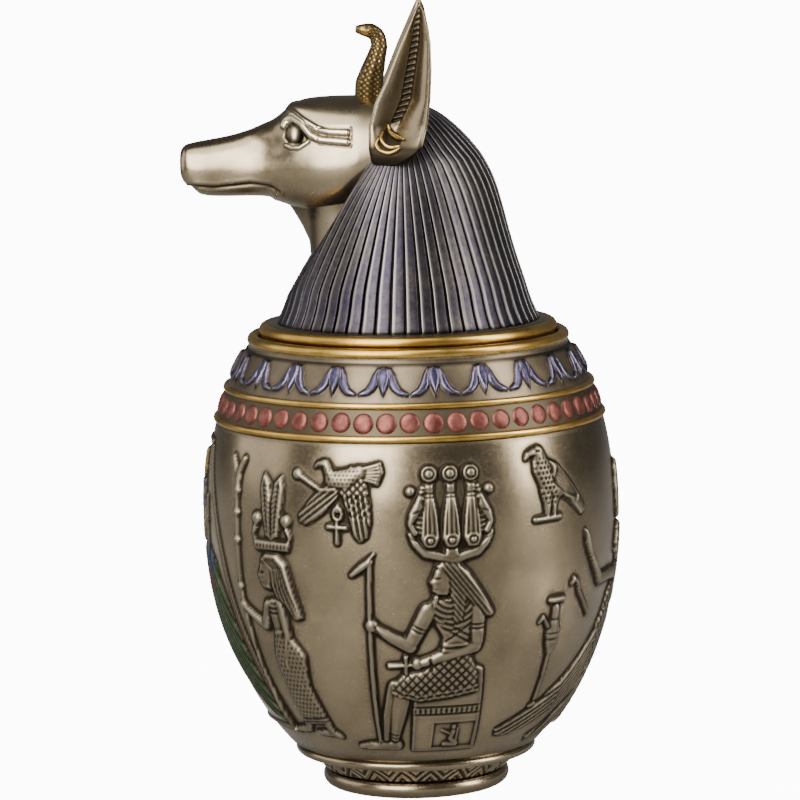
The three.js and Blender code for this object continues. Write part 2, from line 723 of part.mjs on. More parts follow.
function eye(side) {
  const at = ([reach, up]) => new THREE.Vector3(
    -reach * HEAD_REACH,
    side * headSide(reach, up) * HEAD_WIDTH,
    jawZ + up * HEAD_HEIGHT,
  );
  const ball = new THREE.SphereGeometry(0.075 * HEAD_HEIGHT, 8, 5);
  ball.translate(...at([0.488, 0.73]).toArray());
  const lines = [BROW_LINE, LID_LINE].map((line) => tapered(
    line.map((place) => ({ at: at(place), across: EYE_LINE_HALF, inward: EYE_LINE_HALF })),
    6,
  ));
  return joined([solidFrom(ball), ...lines]);
}

function mouthSlit() {
  const length = 0.3 * HEAD_REACH;
  const geometry = new THREE.BoxGeometry(length, HEAD_WIDTH, MOUTH_GAP);
  geometry.rotateY(0.03);
  geometry.translate(-0.8 * HEAD_REACH, 0, jawZ + 0.24 * HEAD_HEIGHT);
  const inside = new THREE.BoxGeometry(length * 1.2, 0.24 * HEAD_WIDTH, 3 * MOUTH_GAP);
  inside.translate(-0.8 * HEAD_REACH, 0, jawZ + 0.24 * HEAD_HEIGHT);
  return solidFrom(geometry).subtract(solidFrom(inside));
}

// Ear rings from the root up: height as a share of the ear's length, front and back edge as shares of
// its width from its middle line, and hollow depth as a share of its depth.
const EAR_STATIONS = [
  [0, -0.09, 0.09, 0.4], [0.06, -0.3, 0.37, 0.8], [0.12, -0.32, 0.54, 1], [0.22, -0.29, 0.66, 1],
  [0.36, -0.14, 0.73, 1], [0.58, -0.03, 0.76, 0.85], [0.72, 0.14, 0.74, 0.7],
  [0.86, 0.31, 0.69, 0.45], [0.96, 0.46, 0.6, 0.2], [1, 0.52, 0.55, 0.1],
];

// A cupped leaf: its opening faces sideways and a little forwards.
function ear(side) {
  const SIDES = 6;
  const rings = EAR_STATIONS.map(([up, front, back, cup]) => {
    const middle = (front + back) / 2;
    const half = ((back - front) / 2) * EAR_WIDTH;
    const z = earFootZ + up * EAR_LENGTH;
    const at = (cosine, out) => {
      const along = half * cosine;
      const y = EAR_SPREAD + out + EAR_SKEW * along;
      return new THREE.Vector3(EAR_MIDDLE + middle * EAR_WIDTH + along, side * y, z);
    };
    const rim = EAR_RIM * Math.min(1, 2 * cup);
    const hollow = [];
    const shell = [];
    for (let k = 0; k <= SIDES; k += 1) {
      const angle = (Math.PI * k) / SIDES;
      hollow.push(at(Math.cos(angle), rim / 2 - 0.5 * cup * EAR_DEPTH * Math.sin(angle)));
      shell.push(at(-Math.cos(angle), -rim / 2 - cup * EAR_DEPTH * Math.sin(angle)));
    }
    return [...hollow, ...shell];
  });
  return lofted(rings);
}

function cobra() {
  const rootZ = jawZ + 0.96 * HEAD_HEIGHT;
  const at = (reach, up) => new THREE.Vector3(-reach * HEAD_REACH, 0, rootZ + up * COBRA_HEIGHT);
  const thick = COBRA_THICKNESS / 2;
  return tapered([
    { at: at(0.122, -0.1), across: 1.3 * thick, inward: 1.5 * thick },
    { at: at(0.139, 0.1), across: 1.6 * thick, inward: 1.45 * thick },
    { at: at(0.139, 0.3), across: 1.9 * thick, inward: 1.1 * thick },
    { at: at(0.111, 0.5), across: 1.8 * thick, inward: 0.95 * thick },
    { at: at(0.1, 0.68), across: 1.3 * thick, inward: 0.85 * thick },
    { at: at(0.116, 0.84), across: 0.85 * thick, inward: 0.8 * thick },
    { at: at(0.156, 0.92), across: 0.8 * thick, inward: 0.65 * thick },
    { at: at(0.211, 0.89), across: 0.35 * thick, inward: 0.35 * thick },
  ], 8);
}

function lid() {
  const face = joined([head(), eye(-1), eye(1)]).subtract(mouthSlit());
  return joined([collar(), headcloth(), neck(), face, ear(-1), ear(1), cobra()]);
}

const bronze = new THREE.MeshStandardMaterial({ color: 0x8f8272, roughness: 0.35, metalness: 0.9 });
const clothMetal = new THREE.MeshStandardMaterial({ color: 0x75727f, roughness: 0.4, metalness: 0.85 });

const canopicJar = new THREE.Group();
canopicJar.add(meshFrom(jar(), 'jar', bronze));
canopicJar.add(meshFrom(lid(), 'jackal_lid', clothMetal));

export default canopicJar;
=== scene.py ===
import math

import bpy
import numpy as np
from mathutils import Matrix, Vector


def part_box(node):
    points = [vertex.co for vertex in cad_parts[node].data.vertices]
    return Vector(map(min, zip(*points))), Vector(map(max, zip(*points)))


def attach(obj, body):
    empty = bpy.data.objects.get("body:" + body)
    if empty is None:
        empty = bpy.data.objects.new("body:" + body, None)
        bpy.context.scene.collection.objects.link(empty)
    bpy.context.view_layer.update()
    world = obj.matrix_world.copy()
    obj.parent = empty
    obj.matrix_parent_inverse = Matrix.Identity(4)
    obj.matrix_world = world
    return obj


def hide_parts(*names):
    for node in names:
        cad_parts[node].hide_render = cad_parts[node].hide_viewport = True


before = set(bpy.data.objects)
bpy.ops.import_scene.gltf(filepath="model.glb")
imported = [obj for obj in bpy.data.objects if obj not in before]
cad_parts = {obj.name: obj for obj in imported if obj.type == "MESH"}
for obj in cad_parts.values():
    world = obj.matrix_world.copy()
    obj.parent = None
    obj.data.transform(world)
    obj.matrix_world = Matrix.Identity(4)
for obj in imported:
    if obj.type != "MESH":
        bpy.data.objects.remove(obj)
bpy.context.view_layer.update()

# Sizes are in millimetres of the jar as built, and UNIT turns them into the frame's metres.
RIM_TOP = 177.8
jar_low, jar_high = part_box("jar")
UNIT = (jar_high.z - jar_low.z) / RIM_TOP

# The jar's outside, from the ground up
FOOT_RADIUS = 36.3
FOOT_TOP = 7.5
BAND_TOP = 13.5
BODY_BOTTOM = 17.5
EQUATOR_Z = 105.0
EQUATOR_RADIUS = 79.0
BODY_BOTTOM_RADIUS = 47.5
BODY_TOP = 172.5
BODY_TOP_RADIUS = 62.5
SHOULDER_FULLNESS = 2.4
BEAD_RING_Z = 145.7
LOTUS_RING_Z = 157.5
SEAT_Z = 174.2
MOUTH_RADIUS = 52.0
RECESS_RADIUS = 58.2
WALL = 6.0
FLOOR_Z = 13.0
BEADS = 52
BEAD_RADIUS = 4.1
LOTUSES = 22

# The lid
COLLAR_BOTTOM = 174.5
COLLAR_TOP = 182.2
CLOTH_HEIGHT = 83.5

# Half heights of the two curves that make the wall, under and over the equator
LOWER_CURVE = (EQUATOR_Z - BODY_BOTTOM) / math.sqrt(1 - (BODY_BOTTOM_RADIUS / EQUATOR_RADIUS) ** 2)
narrowing = 1 - (BODY_TOP_RADIUS / EQUATOR_RADIUS) ** 2
UPPER_CURVE = (BODY_TOP - EQUATOR_Z) / narrowing ** (1 / SHOULDER_FULLNESS)


def wall_radius(z):
    z = np.asarray(z, float)
    low = 1 - (np.clip(EQUATOR_Z - z, 0, LOWER_CURVE) / LOWER_CURVE) ** 2
    high = 1 - (np.clip(z - EQUATOR_Z, 0, UPPER_CURVE) / UPPER_CURVE) ** SHOULDER_FULLNESS
    return EQUATOR_RADIUS * np.sqrt(np.minimum(low, high))


# Heights against distance along the wall, 0 at the equator
profile_z = np.linspace(BODY_BOTTOM, RIM_TOP, 1600)
profile_r = wall_radius(profile_z)
profile_s = np.concatenate([[0], np.cumsum(np.hypot(np.diff(profile_z), np.diff(profile_r)))])
profile_s -= np.interp(EQUATOR_Z, profile_z, profile_s)


def travel(z):
    return np.interp(z, profile_z, profile_s)


def height_at(s):
    return np.interp(s, profile_s, profile_z)


def wall_slope(z):
    """The wall's outward unit normal as (radial, vertical)."""
    rise = wall_radius(z + 0.5) - wall_radius(z - 0.5)
    length = np.hypot(rise, 1.0)
    return 1 / length, -rise / length


def on_wall(across, s, out):
    """Points on the unrolled wall: across on the equator, s along the profile, out from the wall."""
    z = height_at(s)
    radial, vertical = wall_slope(z)
    r = wall_radius(z) + out * radial
    angle = across / EQUATOR_RADIUS
    return np.stack([r * np.sin(angle), -r * np.cos(angle), z + out * vertical], -1)


def smooth_through(x, xs, ys):
    """A curve through the points (xs, ys) without overshoot, for rising xs."""
    xs, ys = np.asarray(xs, float), np.asarray(ys, float)
    slopes = np.diff(ys) / np.diff(xs)
    tangents = np.zeros(len(xs))
    both = slopes[:-1] * slopes[1:]
    inner = np.where(both > 0, 2 * both / (slopes[:-1] + slopes[1:] + 1e-12), 0)
    tangents[1:-1] = inner
    tangents[0], tangents[-1] = slopes[0], slopes[-1]
    x = np.clip(x, xs[0], xs[-1])
    i = np.clip(np.searchsorted(xs, x, side="right") - 1, 0, len(xs) - 2)
    width = xs[i + 1] - xs[i]
    t = (x - xs[i]) / width
    return (
        ys[i] * (1 + 2 * t) * (1 - t) ** 2
        + ys[i + 1] * t * t * (3 - 2 * t)
        + width * tangents[i] * t * (1 - t) ** 2
        + width * tangents[i + 1] * t * t * (t - 1)
    )


def unit(value):
    """The value held between 0 and 1."""
    return np.clip(value, 0, 1)


def step(t):
    """0 below 0, 1 above 1, smooth between."""
    t = unit(t)
    return t * t * (3 - 2 * t)


def peak(distance, width):
    """1 at distance 0, falling off smoothly to both sides."""
    return np.exp(-((distance / width) ** 2))


def spot(u, v):
    """1 where both are 0, falling off smoothly all round."""
    return np.exp(-(u ** 2 + v ** 2))


def dome(share):
    """A quarter circle's height: upright at 0 and level at 1."""
    return np.sqrt(1 - (1 - unit(share)) ** 2)


def turn_angles(count):
    """Even angles round a full turn."""
    return np.arange(count) * 2 * math.pi / count


def column(rows, k):
    return [row[k] for row in rows]


def edge_at(z, route):
    """x at a height on a route of (x, z) points."""
    return np.interp(z, column(route, 1), column(route, 0))


def mirrored(points, side):
    """The points as they are for side 1, turned over across for side -1."""
    return [(side * point[0], *point[1:]) for point in points]


def thin(points):
    """(x, y) points as bars without thickness."""
    return [(x, y, 0) for x, y in points]


# Meshes


def add_mesh(name, points, faces, material, **attributes):
    """An object from points in millimetres and arrays of faces, each array of one corner count."""
    mesh = bpy.data.meshes.new(name)
    faces = [np.asarray(f, np.int32) for f in faces if len(f)]
    points = np.asarray(points, float).reshape(-1, 3) * UNIT
    mesh.vertices.add(len(points))
    mesh.vertices.foreach_set("co", points.astype(np.float32).ravel())
    corners = np.concatenate([f.ravel() for f in faces])
    totals = np.concatenate([np.full(len(f), f.shape[1], np.int32) for f in faces])
    mesh.loops.add(len(corners))
    mesh.loops.foreach_set("vertex_index", corners)
    mesh.polygons.add(len(totals))
    mesh.polygons.foreach_set("loop_start", np.concatenate([[0], np.cumsum(totals)[:-1]]).astype(np.int32))
    mesh.polygons.foreach_set("use_smooth", np.full(len(totals), True))
    for key, values in attributes.items():
        values = np.asarray(values, np.float32)
        if values.size == len(points):
            mesh.attributes.new(key, "FLOAT", "POINT").data.foreach_set("value", values.ravel())
        else:
            colour = np.concatenate([values.reshape(-1, 3), np.ones((len(points), 1))], 1)
            layer = mesh.attributes.new(key, "FLOAT_COLOR", "POINT")
            layer.data.foreach_set("color", colour.astype(np.float32).ravel())
    mesh.materials.append(material)
    mesh.update(calc_edges=True)
    mesh.validate()
    obj = bpy.data.objects.new(name, mesh)
    bpy.context.scene.collection.objects.link(obj)
    return obj


def grid_faces(rows, columns, around=False, start=0):
    """Quads of a grid of points; around joins the last column to the first."""
    index = np.arange(rows * columns).reshape(rows, columns) + start
    if around:
        index = np.concatenate([index, index[:, :1]], 1)
    a, b, c, d = index[:-1, :-1], index[:-1, 1:], index[1:, 1:], index[1:, :-1]
    return np.stack([a, b, c, d], -1).reshape(-1, 4)


def tube_faces(rows, columns, start=0):
    """A grid joined round its columns, with a lid on both ends."""
    first = np.arange(columns)[::-1].reshape(1, -1) + start
    last = np.arange(columns).reshape(1, -1) + start + (rows - 1) * columns
    return [grid_faces(rows, columns, True, start), first, last]


def revolve(profile, segments):
    """Rings of points round +Z from (radius, height) points."""
    profile = np.asarray(profile, float)
    angle = turn_angles(segments)
    r, z = profile[:, :1], profile[:, 1:]
    return np.stack([r * np.sin(angle), -r * np.cos(angle), z + 0 * angle], -1)


def arc(centre_r, centre_z, radius, start, stop, steps):
    """Points of a circle's arc, from start to stop degrees."""
    angle = np.radians(np.linspace(start, stop, steps + 1))
    return [(centre_r + radius * math.cos(a), centre_z + radius * math.sin(a)) for a in angle]


TORUS_SIDES = 16
TORUS_TURNS = 200


def torus(name, radius, z, tube, material):
    """A ring of round section, closed both ways."""
    profile = [(radius + tube * u, z + tube * v) for u, v in arc(0, 0, 1, 0, 360, TORUS_SIDES)[:-1]]
    join = grid_faces(2, TORUS_TURNS, True)
    join = np.where(join < TORUS_TURNS, join + (TORUS_SIDES - 1) * TORUS_TURNS, join - TORUS_TURNS)
    faces = [grid_faces(TORUS_SIDES, TORUS_TURNS, True), join]
    return add_mesh(name, revolve(profile, TORUS_TURNS), faces, material)


def blurred(values, sigma_cells):
    """A gaussian blur that wraps round the columns and mirrors over the rows."""
    doubled = np.concatenate([values, values[::-1]], 0)
    fy = np.fft.fftfreq(doubled.shape[0])[:, None]
    fx = np.fft.rfftfreq(doubled.shape[1])[None, :]
    kernel = np.exp(-2 * (math.pi * sigma_cells) ** 2 * (fx * fx + fy * fy))
    result = np.fft.irfft2(np.fft.rfft2(doubled) * kernel, doubled.shape)
    return result[: values.shape[0]]


# Relief on the unrolled wall

CELL = 0.35
TURN = 2 * math.pi * EQUATOR_RADIUS
FIELD_LEFT = -160.0
FIELD_LOW = travel(BODY_BOTTOM) - 1
FIELD_HIGH = travel(BEAD_RING_Z) + 1
columns = round(TURN / CELL)
up_axis = np.arange(FIELD_LOW, FIELD_HIGH, CELL)
relief = np.zeros((len(up_axis), columns))
paint = np.zeros((len(up_axis), columns, 3))
painted = np.zeros((len(up_axis), columns))


def segment_distance(x, y, a, b):
    """Distance to a tapered bar between points (x, y, radius), less than 0 inside."""
    (ax, ay, ar), (bx, by, br) = a, b
    dx, dy = bx - ax, by - ay
    t = unit(((x - ax) * dx + (y - ay) * dy) / (dx * dx + dy * dy + 1e-9))
    return np.hypot(x - ax - t * dx, y - ay - t * dy) - (ar + (br - ar) * t)


def polygon_distance(x, y, points):
    """Signed distance to a polygon, less than 0 inside."""
    nearest = np.full(x.shape, 1e9)
    inside = np.zeros(x.shape, bool)
    for (ax, ay), (bx, by) in zip(points, points[1:] + points[:1]):
        nearest = np.minimum(nearest, segment_distance(x, y, (ax, ay, 0), (bx, by, 0)))
        crosses = ((ay > y) != (by > y)) & (x < (bx - ax) * (y - ay) / (by - ay + 1e-12) + ax)
        inside ^= crosses
    return np.where(inside, -nearest, nearest)


def route_distance(x, y, points):
    """Distance to a route of tapered bars through points (x, y, radius)."""
    return np.min([segment_distance(x, y, a, b) for a, b in zip(points, points[1:])], axis=0)


# Room round a stroke, and round a filled outline, in which it may change the field
STROKE_MARGIN = 3
FILL_MARGIN = 1
# Width of the soft edge of a figure's foot and of a patch of colour
SOFT_EDGE = 0.5
# A groove cuts only where the relief is this high
SOLID = 0.25


class Motif:
    """Draws on the relief in its own coordinates: x across, y up, from a ground point."""

    def __init__(self, across, up, facing=1):
        self.across, self.up, self.facing = across, up, facing

    def window(self, points, margin):
        """The part of the field round the points, and its coordinates in the motif."""
        xs = [self.across + self.facing * p[0] for p in points]
        ys = [self.up + p[1] for p in points]
        margin = margin + max(p[2] if len(p) > 2 else 0 for p in points)
        cell = TURN / columns
        left = math.floor((min(xs) - margin - FIELD_LEFT) / cell)
        right = math.ceil((max(xs) + margin - FIELD_LEFT) / cell)
        low = np.searchsorted(up_axis, min(ys) - margin)
        high = np.searchsorted(up_axis, max(ys) + margin)
        x = (FIELD_LEFT + np.arange(left, right) * cell - self.across) * self.facing
        gx, gy = np.meshgrid(x, up_axis[low:high] - self.up)
        return np.ix_(np.arange(low, high), np.arange(left, right) % columns), gx, gy

    def bars(self, points):
        place, x, y = self.window(points, STROKE_MARGIN)
        return place, route_distance(x, y, points)

    def lift(self, place, distance, foot, top, soft):
        """Raises a foot with a soft edge and a dome on it, over the width called soft."""
        value = foot * step(0.5 - distance / SOFT_EDGE) + (top - foot) * dome(-distance / soft)
        relief[place] = np.maximum(relief[place], np.where(distance < 0.3, value, 0))

    def limb(self, points, top, foot=0.5, soft=None):
        place, distance = self.bars(points)
        self.lift(place, distance, foot, top, soft or max(column(points, 2)))

    def shape(self, points, top, foot, soft):
        place, x, y = self.window(points, STROKE_MARGIN)
        self.lift(place, polygon_distance(x, y, points), foot, top, soft)

    def disc(self, x, y, radius, top, foot=0.5, soft=None):
        self.limb([(x, y, radius), (x + 0.01, y, radius)], top, foot, soft)

    def groove(self, points, width, depth):
        place, distance = self.bars(thin(points))
        relief[place] -= np.where(relief[place] > SOLID, depth * peak(np.maximum(distance, 0), width), 0)

    def grooves(self, width, depth, *routes):
        for route in routes:
            self.groove(route, width, depth)

    def ring_groove(self, x, y, radius, corners):
        turn = np.linspace(0, 6.3, corners)
        self.groove([(x + radius * math.cos(a), y + radius * math.sin(a)) for a in turn], 0.42, 1.0)

    def rib(self, points, width, height):
        place, distance = self.bars(thin(points))
        relief[place] += height * peak(np.maximum(distance, 0), width)

    def pattern(self, points, value, depth):
        """Cuts value(x, y), from 0 to 1, into a polygon."""
        place, x, y = self.window(points, FILL_MARGIN)
        relief[place] -= depth * step(-polygon_distance(x, y, points) / 0.5) * value(x, y)

    def colour(self, points, rgb, amount):
        place, x, y = self.window(points, FILL_MARGIN)
        share = amount * step(0.5 - polygon_distance(x, y, points) / SOFT_EDGE)
        painted[place] = np.maximum(painted[place], share)
        paint[place] += (np.array(rgb) - paint[place]) * share[..., None]


def hatch(angle, spacing, sharpness):
    """Parallel cuts at an angle in degrees."""
    c, s = math.cos(math.radians(angle)), math.sin(math.radians(angle))

    def value(x, y):
        wave = 0.5 + 0.5 * np.cos(2 * math.pi * (x * s - y * c) / spacing)
        return wave ** sharpness

    return value


def net(spacing):
    first, second = hatch(45, spacing, 5), hatch(-45, spacing, 5)
    return lambda x, y: np.maximum(first(x, y), second(x, y))


def dots(spacing):
    def value(x, y):
        row = np.round(y / spacing)
        u = (x / spacing + 0.5 * (row % 2)) % 1 - 0.5
        v = y / spacing - row
        return np.exp(-((u * u + v * v) / 0.05))

    return value


def rings(cx, cy, spacing):
    def value(x, y):
        return (0.5 + 0.5 * np.cos(2 * math.pi * np.hypot(x - cx, y - cy) / spacing)) ** 3

    return value


def seated_god(m):
    throne = [(-12.5, 25.5), (8, 27), (11.5, 37), (14, 39.5), (17, 38), (20.8, -1), (-14.5, -1)]
    m.shape(throne, 1.0, 0.6, 0.8)
    inset = [(-3.2, 14.5), (17.8, 14.5), (18.6, 1), (-4, 1)]
    m.pattern(inset, lambda x, y: np.ones(x.shape), 0.35)
    m.grooves(0.4, 0.45, [(-13, 22), (19, 22)], [(-13.4, 18.4), (19, 18.4)])
    m.pattern([(-13, 21.5), (19, 21.5), (19, 18.8), (-13, 18.8)], hatch(90, 2.4, 2), 0.4)
    m.limb([(3, 3, 1.3), (9, 3, 1.6), (6, 6, 1.4), (7, 9.5, 1.5)], 1.3, 0.5)
    m.disc(7, 11.8, 1.3, 1.3, 0.4)
    m.limb([(6.5, 8, 0.7), (1, 10.5, 0.6)], 1.2, 0.4)
    m.limb([(9, 3, 0.8), (9, 11, 0.5)], 1.1, 0.4)
    # Legs and feet
    m.limb([(-20.5, 31, 3), (-24, 18, 2.9), (-27, 6, 1.8)], 1.2)
    m.limb([(-27, 2.6, 1.9), (-36, 2.2, 1.7), (-42.5, 1.2, 1.2)], 1.2)
    m.limb([(-17, 31, 4.2), (-19.5, 20, 3.9), (-22.5, 7, 2.4)], 1.8)
    m.limb([(-21.5, 2.8, 2.5), (-30, 2.6, 2.1), (-38, 1.4, 1.3)], 1.8)
    m.grooves(0.35, 0.4, [(-25, 9.5), (-20, 8.5)], [(-25.2, 7.8), (-20.4, 6.8)])
    # Kilt
    kilt = [
        (-1, 46), (9.5, 46.5), (14.8, 37), (15, 28.5), (4, 26), (-10.5, 25), (-20, 27.5), (-21, 33),
        (-17, 36.5), (-8, 38.5),
    ]
    m.shape(kilt, 2.0, 0.6, 4)
    m.pattern(kilt, net(2.6), 0.42)
    hem = [(-21, 29), (-10.5, 25.4), (15, 28.8)]
    m.rib([(x, y + 0.4) for x, y in hem], 0.6, 0.5)
    m.rib([(x, y + 2.4) for x, y in hem], 0.45, 0.35)
    # Body, collar and straps
    torso = [
        (-7.8, 63.5), (-5, 67), (9, 68), (14.2, 65.5), (11, 55), (10, 46), (-1.4, 46), (-0.6, 52),
        (-4, 58),
    ]
    m.shape(torso, 1.8, 0.6, 4)
    m.pattern([
        (-8, 64), (-5, 68), (9, 69), (14, 66), (11.5, 58), (2, 53.5), (-5, 58),
    ], rings(2.2, 70, 2.1), 0.45)
    m.grooves(0.4, 0.4, [(-3.5, 58), (9.5, 50)], [(-2.5, 60), (10, 52.2)], [(10, 57.5), (0, 50.5)])
    m.rib([(-1.8, 46.6), (10.4, 47.2)], 0.8, 0.7)
    m.rib([(-1.2, 49), (10.3, 49.4)], 0.5, 0.45)
    # Arms
    m.limb([(-6.4, 62.5, 3.3), (-13.4, 49.6, 2.8)], 2.1)
    m.limb([(-13.4, 48.6, 2.7), (-20, 52, 2.3), (-26.5, 56, 1.7)], 2.2)
    m.disc(-28.2, 57, 2.5, 2.2)
    m.limb([(12.6, 63, 3.4), (12.8, 50, 2.9)], 2.2)
    m.limb([(12.4, 48, 2.8), (0, 44.4, 2.5), (-8.5, 41.8, 1.8)], 2.3)
    m.disc(-10.8, 41.3, 2.4, 2.3)
    armlets = [
        [(-12.5, 57.5), (-7, 55)],
        [(9.4, 57), (16, 57)],
        [(-24.6, 52.8), (-26.8, 57)],
        [(-5.6, 44.8), (-5, 40.4)],
    ]
    for armlet in armlets:
        m.grooves(0.4, 0.55, armlet, [(x, y - 1.6) for x, y in armlet])
    # Life sign in the rear hand
    m.limb([(-12.5, 41, 0.8), (-22.2, 40.4, 1)], 1.4)
    m.limb([(-15.4, 37.4, 0.9), (-15.4, 44.2, 0.9)], 1.5)
    # Head, beard and wig
    face = [
        (0, 80.5), (-3.8, 78.6), (-4.6, 75.8), (-6.1, 73.7), (-5, 72.5), (-5, 70.4), (-3, 68.8),
        (1, 68.4), (3, 72), (3, 79),
    ]
    m.shape(face, 2.0, 0.6, 2)
    m.groove([(-4.2, 75.2), (-2, 75.4)], 0.35, 0.5)
    m.groove([(-4.8, 71.4), (-3.2, 71.2)], 0.3, 0.45)
    m.limb([(-3.4, 68, 1), (-4.4, 62.8, 0.7)], 1.7)
    wig = [
        (-3.6, 79.8), (-1, 81.8), (4, 81.4), (9, 77.6), (13.5, 71), (19.6, 61), (18.4, 59.4),
        (14.4, 60.2), (8.4, 67), (7, 58), (2.2, 57.6), (2.8, 66), (1.4, 70), (1, 75), (-2, 78),
    ]
    m.shape(wig, 2.2, 0.7, 1.8)
    m.pattern(wig, hatch(-52, 1.5, 1.4), 0.5)
    # Staff
    m.limb([(-30.4, 6.5, 1), (-28.1, 81, 0.9)], 1.3, 0.6)
    m.limb([(-35, 76.4, 0.9), (-31, 79.6, 1.5), (-28.2, 81.6, 1.4)], 1.6)
    m.limb([(-28.6, 82, 0.9), (-26.4, 84.6, 0.5)], 1.3)
    m.limb([(-31.8, 2.4, 0.6), (-30.4, 6.6, 0.8), (-28.8, 2.4, 0.6)], 1.2)


def serpent(m, x, y, size, turn):
    """A small rearing cobra that faces left for turn 1."""
    route = [
        (0, -6.5, 1.1), (1.6, -3.4, 1), (0.4, -0.4, 1.7), (-1.2, 2.4, 1.9), (-1.6, 4.8, 1.1),
        (-3.4, 5.2, 0.7),
    ]
    m.limb([(x + turn * size * px, y + size * py, size * r) for px, py, r in route], 1.7)
    m.groove([(x + turn * size * -1.4, y + size * 1), (x + turn * size * 0.6, y + size * 0.2)], 0.3, 0.4)


def triple_crown(m):
    for side in (-1, 1):
        horn = [(15.6, 11.6, 0.7), (13.4, 7.6, 1.4), (9.6, 4.2, 1.8), (5, 3, 1.7), (0, 1.2, 1.8)]
        m.limb(mirrored(horn, side), 1.7)
        feather = [(9.6, 7.5, 1.4), (11.8, 15, 1.8), (11.6, 22, 2), (10.4, 28, 1.2)]
        m.limb(mirrored(feather, side), 1.2)
        for y in np.arange(8.6, 28, 1.9):
            m.groove([(side * 9, y), (side * 14.4, y + 1)], 0.4, 0.7)
        serpent(m, side * 13.6, 19, 1.1, side)
        m.disc(side * 15.2, 27.4, 1.8, 1.6)
    m.shape([(-2.4, 6), (2.4, 6), (3.4, -1.6), (-3.4, -1.6)], 1.6, 0.6, 1.5)
    for x in (-8, 0, 8):
        bundle = [
            (x - 1.7, 30), (x - 1.5, 26.5), (x - 2.9, 18), (x - 3.7, 9.5), (x - 2, 6), (x + 2, 6),
            (x + 3.7, 9.5), (x + 2.9, 18), (x + 1.5, 26.5), (x + 1.7, 30),
        ]
        m.shape(bundle, 1.9, 0.6, 2.6)
        for share in (-0.66, 0, 0.66):
            m.groove([(x + 2.8 * share, 8), (x + 2.2 * share, 18), (x + 1.1 * share, 28)], 0.35, 0.5)
        m.groove([(x - 2, 26.4), (x + 2, 26.4)], 0.4, 0.6)
        m.groove([(x - 2, 25), (x + 2, 25)], 0.4, 0.5)
        m.disc(x, 33.6, 3.1, 2.1, 0.8, 1.2)
        m.ring_groove(x, 33.6, 1.9, 13)
        m.disc(x, 9, 2.7, 2.7, 1.2, 1.2)
        m.ring_groove(x, 9, 1.5, 11)


